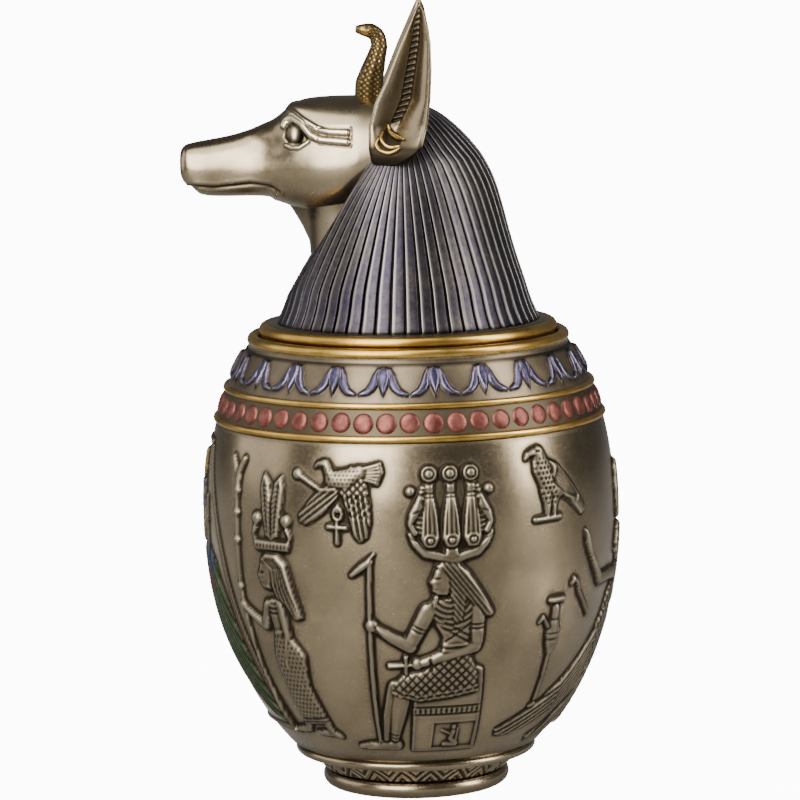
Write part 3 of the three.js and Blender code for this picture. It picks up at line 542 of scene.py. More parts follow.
def standing_goddess(m):
    # Forked staff with knots
    m.limb([(-14.2, 1, 0.9), (-18, 30, 0.9), (-20.2, 60, 0.9), (-20.6, 99, 0.9)], 1.3, 0.6)
    m.limb([(-24.6, 110.6, 1.2), (-21.8, 105, 1.3), (-21, 96, 1.6)], 1.5)
    m.limb([(-17, 110.6, 1.2), (-20, 105, 1.3), (-21, 96, 1.6)], 1.5)
    for y in (61.5, 79.5, 90, 98.4):
        m.disc(-20.6, y, 1.8, 1.7)
    # Dress, legs and feet
    dress = [
        (-5.2, 58), (3.8, 59.6), (2.8, 47), (6.8, 42), (10.6, 37), (9, 24), (13.6, 6.2), (-3, 4.6),
        (-4.4, 20), (-5.8, 36), (-2.6, 46.5),
    ]
    m.shape(dress, 1.9, 0.6, 4)
    m.pattern([(-4, 46), (3, 46), (10.6, 37), (13, 9), (-3, 7)], dots(2), 0.4)
    m.grooves(0.4, 0.5, [(-3.2, 8.2), (13.4, 9.6)], [(-3.2, 6.4), (13.4, 7.8)])
    m.rib([(-3, 45.6), (3, 46.6)], 0.7, 0.5)
    m.pattern([(-6, 57), (4.4, 60), (3.4, 52), (-3.6, 52)], rings(-1, 63, 1.9), 0.4)
    m.limb([(-1, 5, 1.9), (-2.6, 2.2, 1.7), (-8, 1.2, 1.5), (-14.4, 0.7, 0.8)], 1.5)
    m.limb([(11.4, 5.6, 2), (13, 1.6, 1.9), (17, -0.2, 1.2)], 1.5)
    m.limb([(11, 1, 1.6), (3, 0.6, 1.1)], 1.3)
    # Arms
    m.limb([(-4.4, 56, 2.1), (-7.4, 47.8, 1.9)], 1.9)
    m.limb([(-7.4, 47.6, 1.8), (-14, 51, 1.6), (-18.6, 53.6, 1.3)], 2)
    m.disc(-20, 54.2, 2, 2)
    m.limb([(2.4, 57, 2.2), (3.6, 45, 1.8), (1, 34.6, 1.4)], 2.1)
    m.limb([(1, 34.6, 1.6), (0.6, 31, 1.3)], 2.1)
    # Head and long hair
    face = [
        (-1, 74.5), (-6, 73), (-6.8, 70), (-8.2, 67.4), (-7, 66.4), (-6.8, 64.2), (-5, 62.8),
        (-1.6, 62.4), (0.6, 66), (0.6, 73),
    ]
    m.shape(face, 1.9, 0.6, 2)
    m.groove([(-6, 69), (-4, 69.2)], 0.32, 0.5)
    m.groove([(-6.6, 65.2), (-5, 65)], 0.3, 0.4)
    hair = [
        (-6.4, 73.6), (-3, 76.6), (2, 76.6), (6.8, 73), (8.6, 66), (12.6, 52.6), (9, 51.2), (4.4, 57.6),
        (1.2, 59.6), (-0.6, 64), (-0.8, 69.6), (-4, 72.4),
    ]
    m.shape(hair, 2.1, 0.7, 1.8)
    for shift in (0, 1.7, 3.4, 5.1):
        m.groove([
            (-4 + shift, 74.6), (1 + 0.7 * shift, 71), (2 + shift, 63), (5.4 + 1.2 * shift, 53),
        ], 0.35, 0.45)
    # Crown of plumes
    m.shape([(-9.6, 81), (8.8, 81.2), (8, 77.6), (-8.6, 77.4)], 1.7, 0.6, 1.2)
    m.pattern([(-9, 80.6), (8.4, 80.6), (8, 78), (-8.6, 78)], hatch(90, 1.7, 2), 0.45)
    for side, top in ((-1, 107), (1, 106.4)):
        plume = [(0, 81), (3, 83), (4.8, 92), (5.8, 101), (4.4, top), (1, 103), (0, 96)]
        m.shape(mirrored(plume, side), 1.7, 0.6, 1.6)
        m.groove(mirrored([(1.6, 82), (2.6, 94), (3.8, 104)], side), 0.3, 0.5)
        for y in np.arange(85, 104, 1.9):
            barb = [(0.4, y - 1.4), (1.6 + (y - 82) * 0.09, y), (5, y - 1.6)]
            m.groove(mirrored(barb, side), 0.3, 0.4)
        m.disc(side * 7.4 - 0.6, 89.2, 2.4, 1.8)
        serpent(m, side * 8.6 - 0.6, 84.4, 0.5, side)


def vulture(m):
    m.shape([
        (-5, 6.5), (-11, 0.5), (-16.4, -5.6), (-15.8, -8.6), (-12.4, -9.4), (-6, -5), (-1, 0), (3, 5),
    ], 1.4, 0.6, 2)
    m.pattern([(-5, 6.5), (-17, -5), (-15.8, -9), (-12.4, -10), (3, 5)], hatch(37, 1.9, 1.4), 0.75)
    wing = [
        (5, 13.4), (10.6, 10.4), (12.8, 0), (12.8, -8), (11.4, -13.6), (8.6, -15.4), (6.2, -12.6), (4, -4),
        (0.6, 4), (0, 9),
    ]
    m.shape(wing, 1.5, 0.6, 2)
    m.pattern([(0, 2), (12.8, 3), (13, -8), (11.4, -14), (8.6, -16), (4, -4)], hatch(-80, 2.0, 1.4), 0.75)
    m.pattern([(0, 10), (10.6, 10.4), (12.8, 2), (12.8, -7), (3, -6), (0, 2)], net(2.2), 0.6)
    m.shape([(8.6, 12.8), (16.6, 15), (17.6, 11), (15.6, 6), (10, 7.6)], 1.4, 0.6, 1.5)
    for t in np.linspace(0.1, 0.9, 5):
        m.groove([(9.6, 12 - 3.4 * t), (16.8 - t, 14.2 - 7.4 * t)], 0.3, 0.42)
    m.limb([(8.4, 10.8, 2.8), (3, 8.2, 4), (-1.8, 8, 3.4), (-3.8, 11, 1.9), (-5.2, 13.8, 1.7)], 2)
    m.limb([(-5.8, 14, 1.5), (-8.2, 13.6, 0.9), (-9.6, 12.4, 0.5)], 1.9)
    m.groove([(-6.4, 14.4), (-5.4, 14.4)], 0.35, 0.5)
    m.pattern([(-5, 4), (9, 5), (9, 13), (-5, 12)], dots(1.6), 0.35)
    m.limb([(-1, 4.4, 0.9), (-5.6, 4, 0.8), (-8, 4.2, 0.7)], 1.6)
    m.limb([(-17.6, 9.6, 1), (-7.2, 4, 0.8)], 1.3)
    m.disc(-17.4, 9.4, 2, 1.4)
    m.limb([(0, -2, 1), (0, -3.6, 1)], 1.3)
    # Life sign in the claws
    for a in np.linspace(0, 6.3, 9):
        loop = [(0.1 + 1.7 * math.cos(t), -4.6 + 2.4 * math.sin(t), 0.75) for t in (a, a + 0.7)]
        m.limb(loop, 1.4)
    m.limb([(-0.1, -7.6, 0.8), (-0.2, -15.6, 0.95)], 1.4)
    m.limb([(-3.8, -9.6, 0.9), (3.4, -9.8, 0.9)], 1.4)


def falcon(m):
    m.limb([(6, 13, 4), (12, 7.4, 3.2), (17.4, 1.6, 2.2)], 1.5)
    for t in np.linspace(-1, 1, 4):
        m.groove([(8 + t, 10 + 2 * t), (18 + 0.6 * t, 1 + 1.6 * t)], 0.3, 0.45)
    m.limb([(-1.8, 11, 3.2), (-1.6, 5.6, 2), (-2, 1.2, 0.9)], 1.6)
    m.limb([(2.4, 9, 2.6), (1.6, 4.8, 1.6), (1.4, 1.2, 0.9)], 1.4)
    m.limb([(-7.8, 0, 1), (4.6, 0.2, 1)], 1.4)
    m.limb([(-4.2, 24.6, 3), (-3, 19, 4.4), (-0.6, 13.4, 4.4), (3.4, 11, 4)], 2)
    m.pattern([(-9, 23), (1, 23), (4, 4), (-6, 4)], dots(1.9), 0.75)
    m.limb([(-6.6, 25.4, 1.6), (-9.4, 24.6, 1), (-10.6, 23, 0.5)], 1.9)
    m.groove([(-5.6, 25.6), (-4.2, 25.6)], 0.4, 0.6)
    wing = [(0, 22), (4.6, 20), (9, 15), (15.4, 7.4), (13, 5), (7.4, 7), (3, 10), (0.6, 15)]
    m.shape(wing, 2.2, 0.8, 2)
    for t in np.linspace(0.1, 0.9, 6):
        m.groove([
            (1 + 3 * t, 13 + 6.4 * t), (6.4 + 3.4 * t, 8.4 + 5 * t), (13.4 + 1.4 * t, 5.8 + 1.6 * t),
        ], 0.4, 0.8)


def offering_stand(m):
    m.limb([(0, -1, 2.6), (0, 1.4, 1), (0, 12, 0.8), (0, 23, 1)], 1.3, 0.6)
    m.limb([(0, 23.4, 1.6), (0, 27, 3), (0, 31, 3.8), (0, 34.4, 2.6), (0, 37, 1.7), (0, 41, 1.7)], 1.9)
    m.limb([(-3.2, 44.2, 1.2), (3.2, 44.2, 1.2)], 1.8)
    m.limb([(-3.4, 34, 0.9), (-6.4, 38, 0.7), (-8, 36, 0.6)], 1.3)
    m.grooves(0.35, 0.45, [(-4, 31), (4, 31)], [(-3.4, 28.6), (3.4, 28.6)], [(-2.6, 36.6), (2.6, 36.6)])


def winged_goddess(m):
    upper = [
        (-4, 60), (-12, 55), (-19, 43), (-28, 33), (-38, 24.6), (-52, 14.6), (-66, 7.6), (-74.6, 3.6),
        (-73, 0), (-62, 0.4), (-46, 4), (-30, 10), (-14, 24), (-4, 38),
    ]
    m.shape(upper, 1.5, 0.6, 2.5)
    far = [(-40, 26), (-76, 5), (-75, -1), (-46, 3), (-40, 6)]
    middle = [(-19, 44), (-28, 33), (-40, 26), (-40, 6), (-30, 9), (-20, 20)]
    m.pattern(far, hatch(24, 2.3, 1.4), 0.85)
    m.pattern(middle, hatch(42, 2.3, 1.4), 0.85)
    m.pattern([(-4, 60), (-13, 55), (-19, 44), (-20, 20), (-14, 24), (-4, 38)], net(2.8), 0.75)
    lower = [
        (-5, 32), (-14, 18), (-26, 7), (-40, -1), (-47, -4), (-45, -6.6), (-30, -5.6), (-16, 0), (-6, 12),
    ]
    m.shape(lower, 1.3, 0.6, 2.2)
    m.pattern(lower, hatch(34, 2.3, 1.4), 0.85)
    dress = [(-5.6, 47), (5, 47), (8.6, 32), (7.4, 16), (9.6, -4), (-9.6, -4), (-7, 16), (-8, 32)]
    m.shape(dress, 1.8, 0.6, 4)
    m.pattern(dress, net(3), 0.4)
    m.shape([(-7, 61), (-4, 64), (4, 64), (7, 61), (5, 47), (-5, 47)], 1.9, 0.6, 3.5)
    m.pattern([(-7, 62), (7, 62), (5, 54), (-5, 54)], rings(0, 68, 1.9), 0.4)
    m.rib([(-5.4, 46.6), (5.2, 46.8)], 0.8, 0.6)
    m.limb([(-4, 60.4, 2.6), (-16, 62, 2.3), (-27, 61.6, 2.1)], 2.1)
    m.limb([(-27.6, 62, 2.1), (-33, 68.6, 1.8), (-37.2, 74.6, 1.4)], 2.1)
    m.limb([(-37.4, 75, 1.6), (-38.6, 78.4, 1.8), (-40, 82.4, 0.8)], 2)
    m.grooves(0.35, 0.5, [(-34.6, 73.4), (-37.8, 71)], [(-33.4, 72), (-36.6, 69.6)])
    m.limb([(-48, 63.4, 0.9), (-46.8, 65, 1), (-44.6, 63.6, 1), (-43, 59.4, 0.9), (-34, 49.4, 0.9)], 1.4)
    face = [
        (0, 78.6), (-4.6, 77), (-5.4, 74.4), (-6.8, 72), (-5.7, 70.8), (-5.5, 68.8), (-3.6, 67.2),
        (0, 67), (2, 71), (2, 78),
    ]
    m.shape(face, 1.9, 0.6, 2)
    m.groove([(-4.8, 73.4), (-2.8, 73.6)], 0.32, 0.5)
    hair = [
        (-4.4, 78), (-1, 80.6), (4, 80), (7.6, 76), (8.4, 68), (8.6, 57), (3, 57), (1.6, 66), (0.8, 73),
        (-2, 76.4),
    ]
    m.shape(hair, 2.1, 0.7, 1.8)
    m.pattern(hair, hatch(8, 1.7, 2), 0.45)
    m.shape([(-2.4, 81), (2.6, 81), (4.8, 96), (3, 103.6), (0, 105), (-3, 102), (-3.8, 92)], 1.7, 0.6, 2)
    m.groove([(0, 82), (0.6, 102)], 0.3, 0.5)


CREAM = (0.60, 0.50, 0.33)
GREEN = (0.12, 0.23, 0.10)
BLUE = (0.10, 0.17, 0.36)
RED = (0.42, 0.09, 0.06)
GOLD_PAINT = (0.62, 0.44, 0.14)


def framed_panel(m):
    """Under the jackal's face: an enamelled picture of a standing figure with two wide green wings."""
    edge = [(16, 33), (33.5, -10), (50.5, -66), (54, -80)]
    m.colour(edge + mirrored(edge[::-1], -1), CREAM, 0.8)
    strip = [(x - 0.6, y) for x, y in edge] + [(x - 2.6, y) for x, y in reversed(edge)]
    wing = [(4, -14), (14, -6), (24, -12), (35, -32), (46, -66), (47.5, -77), (38, -74), (22, -56), (9, -38)]
    blue_part = [(4, -14), (14, -6), (24, -12), (20.5, -20), (13, -15), (5, -21)]
    red_part = [(5, -21), (13, -15), (20.5, -20), (18, -26), (12, -22), (6, -27)]
    for side in (-1, 1):
        m.rib(mirrored(edge, side), 0.9, 1.0)
        m.rib(mirrored([(x - 3, y) for x, y in edge], side), 0.5, 0.5)
        m.colour(mirrored(strip, side), RED, 0.9)
        m.shape(mirrored(wing, side), 1.6, 0.5, 2.5)
        m.colour(mirrored(wing, side), GREEN, 0.95)
        m.colour(mirrored(blue_part, side), BLUE, 0.95)
        m.colour(mirrored(red_part, side), RED, 0.9)
        m.pattern([(side * x, y) for x, y in wing], hatch(-54 * side, 2.8, 1.5), 0.75)
    m.rib([(-16, 33), (16, 33)], 0.9, 1.0)
    m.rib([(-54, -80), (54, -80)], 0.9, 1.0)
    skirt = [(-5, -8), (5, -8), (8, -24), (7, -38), (-7, -38), (-8, -24)]
    m.shape(skirt, 1.7, 0.5, 3)
    m.colour(skirt, BLUE, 0.9)
    m.pattern(skirt, hatch(80, 2, 2), 0.4)
    m.shape([(-7, 5), (-4, 8), (4, 8), (7, 5), (4.6, -8), (-4.6, -8)], 1.8, 0.5, 3)
    m.colour([(-6, 6), (6, 6), (4, -1), (-4, -1)], RED, 0.8)
    for side in (-1, 1):
        m.limb([(side * 6.4, 4.6, 2.2), (side * 9.6, -4, 1.9), (side * 13.4, 2.6, 1.5)], 1.7)
        m.limb([(side * 13.6, 12, 0.8), (side * 13.2, -30, 0.8)], 1.2)
        m.limb([(side * 3.4, -38, 1.9), (side * 3.8, -41, 1.6), (side * 8, -41.6, 1.1)], 1.4)
    m.disc(0, 12.6, 4.2, 2, 0.6)
    hair = [(-5, 17), (5, 17), (6.6, 6), (4.2, 5), (3.4, 14), (-3.4, 14), (-4.2, 5), (-6.6, 6)]
    m.shape(hair, 2.1, 0.7, 1.4)
    m.colour(hair, BLUE, 0.9)
    m.limb([(0, 18, 2.6), (0, 21, 3.2), (0, 27, 2.2)], 1.8)
    m.colour([(-3.6, 18), (3.6, 18), (3, 28), (-3, 28)], GOLD_PAINT, 0.9)


# Every figure with its ground point across and up: the front, the right and left side, and the back
halfway = TURN / 2
seated_god(Motif(12, -86))
triple_crown(Motif(14.7, -5.5))
standing_goddess(Motif(-57, -80))
vulture(Motif(-28, 18))
falcon(Motif(57, 8))
offering_stand(Motif(61, -68))
winged_goddess(Motif(117, -82))
framed_panel(Motif(-halfway / 2, 0))
seated_god(Motif(halfway - 12, -86, -1))
triple_crown(Motif(halfway - 14.7, -5.5, -1))
standing_goddess(Motif(halfway + 57, -80, -1))
# Widths in millimetres of the soft edges of the casting, its wide and fine recesses and its busy places
CAST_WIDTH = 0.25
WIDE_WIDTH = 1.5
FINE_WIDTH = 0.6
BUSY_WIDTH = 1.2
relief = blurred(np.maximum(relief, 0), CAST_WIDTH / CELL)

# Dark patina and painted shade lie in the recesses and round the figures, and raised edges get worn
# brightness with a painted highlight
recess = blurred(relief, WIDE_WIDTH / CELL) - relief
fine_recess = blurred(relief, FINE_WIDTH / CELL) - relief
wash = unit(recess / 0.5) * 0.85 + unit(fine_recess / 0.1) * 0.9
rubbed = unit(-fine_recess / 0.11 - 0.1)
# Raised parts thick with fine detail get more patina and painted shade
busy = blurred(np.abs(fine_recess), BUSY_WIDTH / CELL)
wash = wash + 0.62 * unit(busy / 0.08) * step(relief / 0.4)


def sampled(values, across, s):
    """The field's values at points, by bilinear interpolation."""
    x = ((across - FIELD_LEFT) % TURN) / TURN * columns
    y = np.clip((s - FIELD_LOW) / CELL, 0, len(up_axis) - 1.001)
    x0, y0 = np.floor(x).astype(int), np.floor(y).astype(int)
    fx, fy = x - x0, y - y0
    if values.ndim == 3:
        fx, fy = fx[..., None], fy[..., None]
    x0, x1 = x0 % columns, (x0 + 1) % columns
    low = values[y0, x0] * (1 - fx) + values[y0, x1] * fx
    high = values[y0 + 1, x0] * (1 - fx) + values[y0 + 1, x1] * fx
    return low * (1 - fy) + high * fy


# Materials


class Nodes:
    """A material's node tree, with short ways to add and join nodes."""

    def __init__(self, name):
        self.material = bpy.data.materials.new(name)
        self.material.use_nodes = True
        self.tree = self.material.node_tree
        self.shader = self.tree.nodes["Principled BSDF"]

    def add(self, kind, **values):
        node = self.tree.nodes.new(kind)
        for key, value in values.items():
            setattr(node, key, value)
        return node

    def put(self, node, **values):
        """Gives a node's inputs, named with _ for a blank, a colour, a number or another node's output."""
        for key, value in values.items():
            socket = node.inputs[key.replace("_", " ")]
            if isinstance(value, tuple):
                socket.default_value = (*value, 1)
            elif isinstance(value, (int, float)):
                socket.default_value = value
            else:
                self.tree.links.new(value, socket)
        return node

    def noise(self, scale, detail=4.0, roughness=0.6):
        place = self.add("ShaderNodeTexCoord").outputs["Object"]
        node = self.add("ShaderNodeTexNoise")
        return self.put(node, Vector=place, Scale=scale, Detail=detail, Roughness=roughness).outputs["Fac"]

    def ramp(self, source, low, high):
        """source stretched so that low gives 0 and high gives 1."""
        node = self.add("ShaderNodeMapRange")
        return self.put(node, Value=source, From_Min=low, From_Max=high).outputs["Result"]

    def combined(self, operation, first, second):
        node = self.add("ShaderNodeMath", operation=operation)
        for value, socket in zip((first, second), node.inputs):
            if isinstance(value, (int, float)):
                socket.default_value = value
            else:
                self.tree.links.new(value, socket)
        return node.outputs[0]

    def times(self, first, second):
        return self.combined("MULTIPLY", first, second)

    def plus(self, first, second):
        return self.combined("ADD", first, second)

    def mix(self, share, first, second):
        node = self.add("ShaderNodeMix", data_type="RGBA")
        self.tree.links.new(share, node.inputs["Factor"])
        for value, socket in zip((first, second), [s for s in node.inputs if s.type == "RGBA"]):
            if isinstance(value, tuple):
                socket.default_value = (*value, 1)
            else:
                self.tree.links.new(value, socket)
        return [s for s in node.outputs if s.type == "RGBA"][0]

    def attribute(self, name, output="Fac"):
        return self.add("ShaderNodeAttribute", attribute_name=name).outputs[output]

    def finish(self, colour, metallic, roughness, bump=None, strength=0.0):
        self.put(self.shader, Base_Color=colour, Metallic=metallic, Roughness=roughness)
        if bump is not None:
            node = self.put(self.add("ShaderNodeBump"), Strength=strength, Distance=BUMP_DEPTH, Height=bump)
            self.put(self.shader, Normal=node.outputs["Normal"])
        return self.material


BUMP_DEPTH = 0.0003
BRONZE = (0.335, 0.265, 0.165)
BRONZE_PALE = (0.62, 0.53, 0.37)
BRONZE_DARK = (0.175, 0.135, 0.082)
# Colour of the dark patina with painted shade
PATINA_AND_SHADE = (0.013, 0.0095, 0.006)
# The cobra's bronze, pale, dark, and patina-with-painted-shade colours
COBRA_GOLD = [(0.34, 0.23, 0.07), (0.66, 0.49, 0.19), (0.16, 0.10, 0.035), (0.022, 0.014, 0.008)]
RING_GOLD = [(0.30, 0.165, 0.030), (0.62, 0.41, 0.11)]
COPPER = [(0.070, 0.017, 0.012), (0.19, 0.060, 0.044)]
# Colour of the painted shade round the beads' rims
COPPER_RIM_SHADE = (0.05, 0.03, 0.02)
CLOTH = [(0.031, 0.0265, 0.038), (0.060, 0.050, 0.043)]
CLOTH_SPECKLE = (0.015, 0.0135, 0.024)
# Worn brightness with painted highlight, then patina with painted shade, on the headcloth
CLOTH_WORN_AND_HIGHLIGHT = (0.36, 0.335, 0.30)
CLOTH_PATINA_AND_SHADE = (0.012, 0.010, 0.010)
BAND_GROUND = (0.085, 0.066, 0.042)
LOTUS_BLUE = [(0.016, 0.012, 0.032), (0.064, 0.052, 0.092)]
# Worn brightness with painted highlight on the lotus flowers
LOTUS_WORN_AND_HIGHLIGHT = (0.28, 0.25, 0.28)
FLOOR_GREY = (0.22, 0.22, 0.22)
FLOOR_GLOW = 12.0


def bronze_material(name, base=BRONZE, pale=BRONZE_PALE, dark=BRONZE_DARK, patina_and_shade_colour=PATINA_AND_SHADE, with_paint=False):
    n = Nodes(name)
    grain = n.noise(800.0, 3.0, 0.7)
    colour = n.mix(n.ramp(n.noise(22.0, 5.0), 0.32, 0.7), dark, base)
    colour = n.mix(n.times(n.ramp(grain, 0.5, 0.85), 0.15), colour, pale)
    # Worn edges and painted highlights turn pale
    colour = n.mix(n.times(n.attribute("rubbed"), 0.85), colour, pale)
    if with_paint:
        share = n.times(n.attribute("painted"), n.ramp(n.noise(160.0, 4.0), 0.25, 0.5))
        colour = n.mix(share, colour, n.attribute("paint", "Color"))
    # Dark patina and painted shade darken the colour
    colour = n.mix(n.times(n.attribute("wash"), 0.96), colour, patina_and_shade_colour)
    roughness = n.plus(n.ramp(grain, -1.35, 6.2), n.times(n.attribute("wash"), 0.28))
    return n.finish(colour, 1.0, roughness, grain, 0.045)


def gold_material():
    n = Nodes("ring_gold")
    colour = n.mix(n.ramp(n.noise(60.0, 5.0), 0.3, 0.75), *RING_GOLD)
    return n.finish(colour, 1.0, 0.3, n.noise(500.0), 0.1)


def copper_material():
    n = Nodes("bead_copper")
    colour = n.mix(n.ramp(n.noise(260.0, 4.0), 0.35, 0.7), *COPPER)
    # Painted shade round each bead's rim
    colour = n.mix(n.attribute("wash"), colour, COPPER_RIM_SHADE)
    return n.finish(colour, 0.75, 0.4, n.noise(900.0), 0.3)


def cloth_material():
    n = Nodes("headcloth_metal")
    grain = n.noise(900.0, 3.0, 0.7)
    speckle = n.ramp(n.noise(420.0, 4.0, 0.7), 0.42, 0.62)
    colour = n.mix(n.ramp(n.noise(24.0, 5.0), 0.36, 0.64), *CLOTH)
    colour = n.mix(n.times(speckle, 0.55), colour, CLOTH_SPECKLE)
    # Worn lips with a painted highlight, then patina and painted shade in the grooves, at the foot and under
    # the ear
    colour = n.mix(n.attribute("rubbed"), colour, CLOTH_WORN_AND_HIGHLIGHT)
    colour = n.mix(n.times(n.attribute("wash"), 0.95), colour, CLOTH_PATINA_AND_SHADE)
    return n.finish(colour, 1.0, n.ramp(grain, -2.1, 4.6), grain, 0.05)


def lotus_material():
    n = Nodes("shoulder_band")
    metal = n.mix(n.ramp(n.noise(30.0, 5.0), 0.35, 0.7), BAND_GROUND, BRONZE_DARK)
    blue = n.mix(n.ramp(n.noise(300.0, 4.0), 0.35, 0.7), *LOTUS_BLUE)
    colour = n.mix(n.attribute("painted"), metal, blue)
    # Worn edges with painted highlights, then patina and painted shade
    colour = n.mix(n.times(n.attribute("rubbed"), 0.7), colour, LOTUS_WORN_AND_HIGHLIGHT)
    colour = n.mix(n.times(n.attribute("wash"), 0.92), colour, PATINA_AND_SHADE)
    return n.finish(colour, 0.9, 0.36, n.noise(900.0), 0.15)


def floor_material():
    """A pale floor that the camera sees as white, as in a product picture."""
    n = Nodes("pale_floor")
    camera_ray = n.add("ShaderNodeLightPath").outputs["Is Camera Ray"]
    n.put(n.shader, Emission_Color=(1, 1, 1), Emission_Strength=n.times(camera_ray, FLOOR_GLOW))
    return n.finish(FLOOR_GREY, 0.0, 0.7)


bronze = bronze_material("antique_bronze", with_paint=True)
plain_bronze = bronze_material("plain_bronze")
gold = gold_material()
cobra_gold = bronze_material("cobra_gold", *COBRA_GOLD)
copper = copper_material()
cloth_metal = cloth_material()
band_metal = lotus_material()

# Jar: core, carved wall, bands

CORE_SEGMENTS = 160


def jar_core():
    """Foot, flange, wall under the relief, rim, ledge and the hollow inside, as one closed piece."""
    sunk = 0.7
    wall_z = np.linspace(BODY_BOTTOM, BEAD_RING_Z, 36)
    band_z = np.linspace(BEAD_RING_Z + 0.5, BODY_TOP, 24)
    profile = [(0.01, 0.0), (26.0, 0.0), (30.6, 0.0)]
    profile += arc(FOOT_RADIUS - 3.6, 3.8, 3.6, -78, 80, 14)
    profile += [(34.6, FOOT_TOP + 0.3), (35.0, 9.0), (37.0, 11.5), (41.2, BAND_TOP)]
    profile += arc(44.9, 15.4, 1.9, -88, 86, 10)
    profile += [(wall_radius(z) - sunk, z) for z in wall_z]
    profile += [(wall_radius(z), z) for z in band_z[:12]]
    profile += [(wall_radius(z) - 0.5, z) for z in band_z[12:]]
    tube = 2.2
    profile += arc(RECESS_RADIUS + 0.8 * tube, RIM_TOP - tube, tube, -35, 165, 14)
    profile += [(RECESS_RADIUS, SEAT_Z + 0.4), (RECESS_RADIUS - 0.4, SEAT_Z), (MOUTH_RADIUS, SEAT_Z)]
    profile += [(MOUTH_RADIUS, SEAT_Z - 6)]
    inner_z = np.linspace(SEAT_Z - 8, BODY_BOTTOM + 5, 30)
    profile += [(wall_radius(z) - WALL, z) for z in inner_z]
    profile += [(38.0, FLOOR_Z + 1.6), (33.0, FLOOR_Z), (0.01, FLOOR_Z)]
    points = revolve(profile, CORE_SEGMENTS)
    z = points[..., 2]
    outside = np.hypot(points[..., 0], points[..., 1]) > np.minimum(wall_radius(z), RECESS_RADIUS) - 2
    bead_ground = (z > BEAD_RING_Z) & (z < LOTUS_RING_Z)
    under_rim = (z > BODY_TOP - 2) & (z < RIM_TOP - 3.6)
    shade = 0.8 * outside * (bead_ground | under_rim)
    return add_mesh("jar_core", points, tube_faces(len(profile), CORE_SEGMENTS), plain_bronze, wash=shade)


def carved_wall(name, left, right, cell):
    """One sector of the wall with its relief, from left to right across."""
    count = round((right - left) / cell)
    low, high = travel(BODY_BOTTOM + 0.3), travel(BEAD_RING_Z - 0.8)
    rows = round((high - low) / cell)
    across, s = np.meshgrid(np.linspace(left, right, count + 1), np.linspace(low, high, rows + 1))
    out = sampled(relief, across, s)
    out -= 0.9 * step((low + 0.8 - s) / 0.8) + 0.9 * step((s - high + 0.8) / 0.8)
    foot_shade = unit((low + 5 - s) / 5) * 0.6 + unit((s - high + 2.5) / 2.5) * 0.7
    return add_mesh(
        name,
        on_wall(across, s, out),
        [grid_faces(rows + 1, count + 1)],
        bronze,
        wash=unit(sampled(wash, across, s) + foot_shade),
        rubbed=sampled(rubbed, across, s),
        painted=sampled(painted, across, s),
        paint=sampled(paint, across, s),
    )


ZIGZAGS = 22


def foot_band():
    """Nested zigzags round the neck of the foot."""
    count, rows = 880, 20
    angle = turn_angles(count)
    t = np.linspace(0, 1, rows)[:, None]
    z = FOOT_TOP - 0.3 + t * (BAND_TOP - FOOT_TOP + 0.6)
    saw = np.abs(((angle * ZIGZAGS / (2 * math.pi)) % 1) - 0.5) * 2
    wave = 0.5 + 0.5 * np.cos(2 * math.pi * (t * 2.1 + 1.75 * saw[None, :]))
    fade = step(t / 0.12) * step((1 - t) / 0.1)
    radius = 35.4 + 5.9 * t ** 1.3 + (0.75 * (wave - 0.5) + 0.3) * fade
    points = np.stack([radius * np.sin(angle), -radius * np.cos(angle), z + 0 * radius], -1)
    # Patina and painted shade in the troughs and at the band's ends, and worn brightness with a painted
    # highlight on the crests
    dark = unit(1 - wave * 1.5) * fade + (1 - fade)
    bright = unit(wave * 3 - 2.1) * fade
    faces = [grid_faces(rows, count, True)]
    return add_mesh("foot_band", points, faces, plain_bronze, wash=dark, rubbed=bright)


def bead_band():
    """A band of round disc beads between the two shoulder rings, each a little uneven."""
    middle_z = (BEAD_RING_Z + LOTUS_RING_Z) / 2 - 0.1
    s = travel(middle_z)
    stretch = EQUATOR_RADIUS / wall_radius(middle_z)
    around, steps = 28, 9
    angle = turn_angles(around)
    share = np.linspace(1, 0.02, steps)[:, None]
    height = 1.35 * np.sqrt(unit(1 - share ** 3.2)) - 0.35
    points, faces, washes = [], [], []
    for i in range(BEADS):
        across = TURN * i / BEADS + 0.25 * math.sin(i * 12.9898)
        size = BEAD_RADIUS * (1 + 0.03 * math.sin(i * 7.31))
        x = across + share * size * stretch * np.cos(angle)
        y = s + 0.15 * math.cos(i * 4.1) + share * size * np.sin(angle)
        points.append(on_wall(x, y, height + 0 * x).reshape(-1, 3))
        side_faces, _, middle_cap = tube_faces(steps, around, i * steps * around)
        faces += [side_faces, middle_cap]
        # Painted shade round the rim of each bead
        washes.append((unit((share - 0.86) / 0.14) * 0.9 + 0 * x).ravel())
    return add_mesh("beads", np.concatenate(points), faces, copper, wash=np.concatenate(washes))


def lotus_distance(x, y, half, length):
    """Signed distances to the bud and to the petals of one flower that hangs head down."""
    bud = [(2.0, -0.9), (2.8, -4), (2.0, -7.5), (0, -length - 0.4), (-2.0, -7.5), (-2.8, -4), (-2.0, -0.9)]
    petal = [
        (0.4, 0), (3.2, -0.8), (5.0, -3.4), (6.0, -6.2), (7.6, -8.8), (half * 0.99, -length + 0.5),
        (half * 0.93, -length - 0.3), (6.4, -length + 0.2), (3.8, -length + 2.0), (2.4, -7.6), (1.9, -3),
    ]
    return polygon_distance(x, y, [(0, 0)] + bud), polygon_distance(np.abs(x), y, petal)


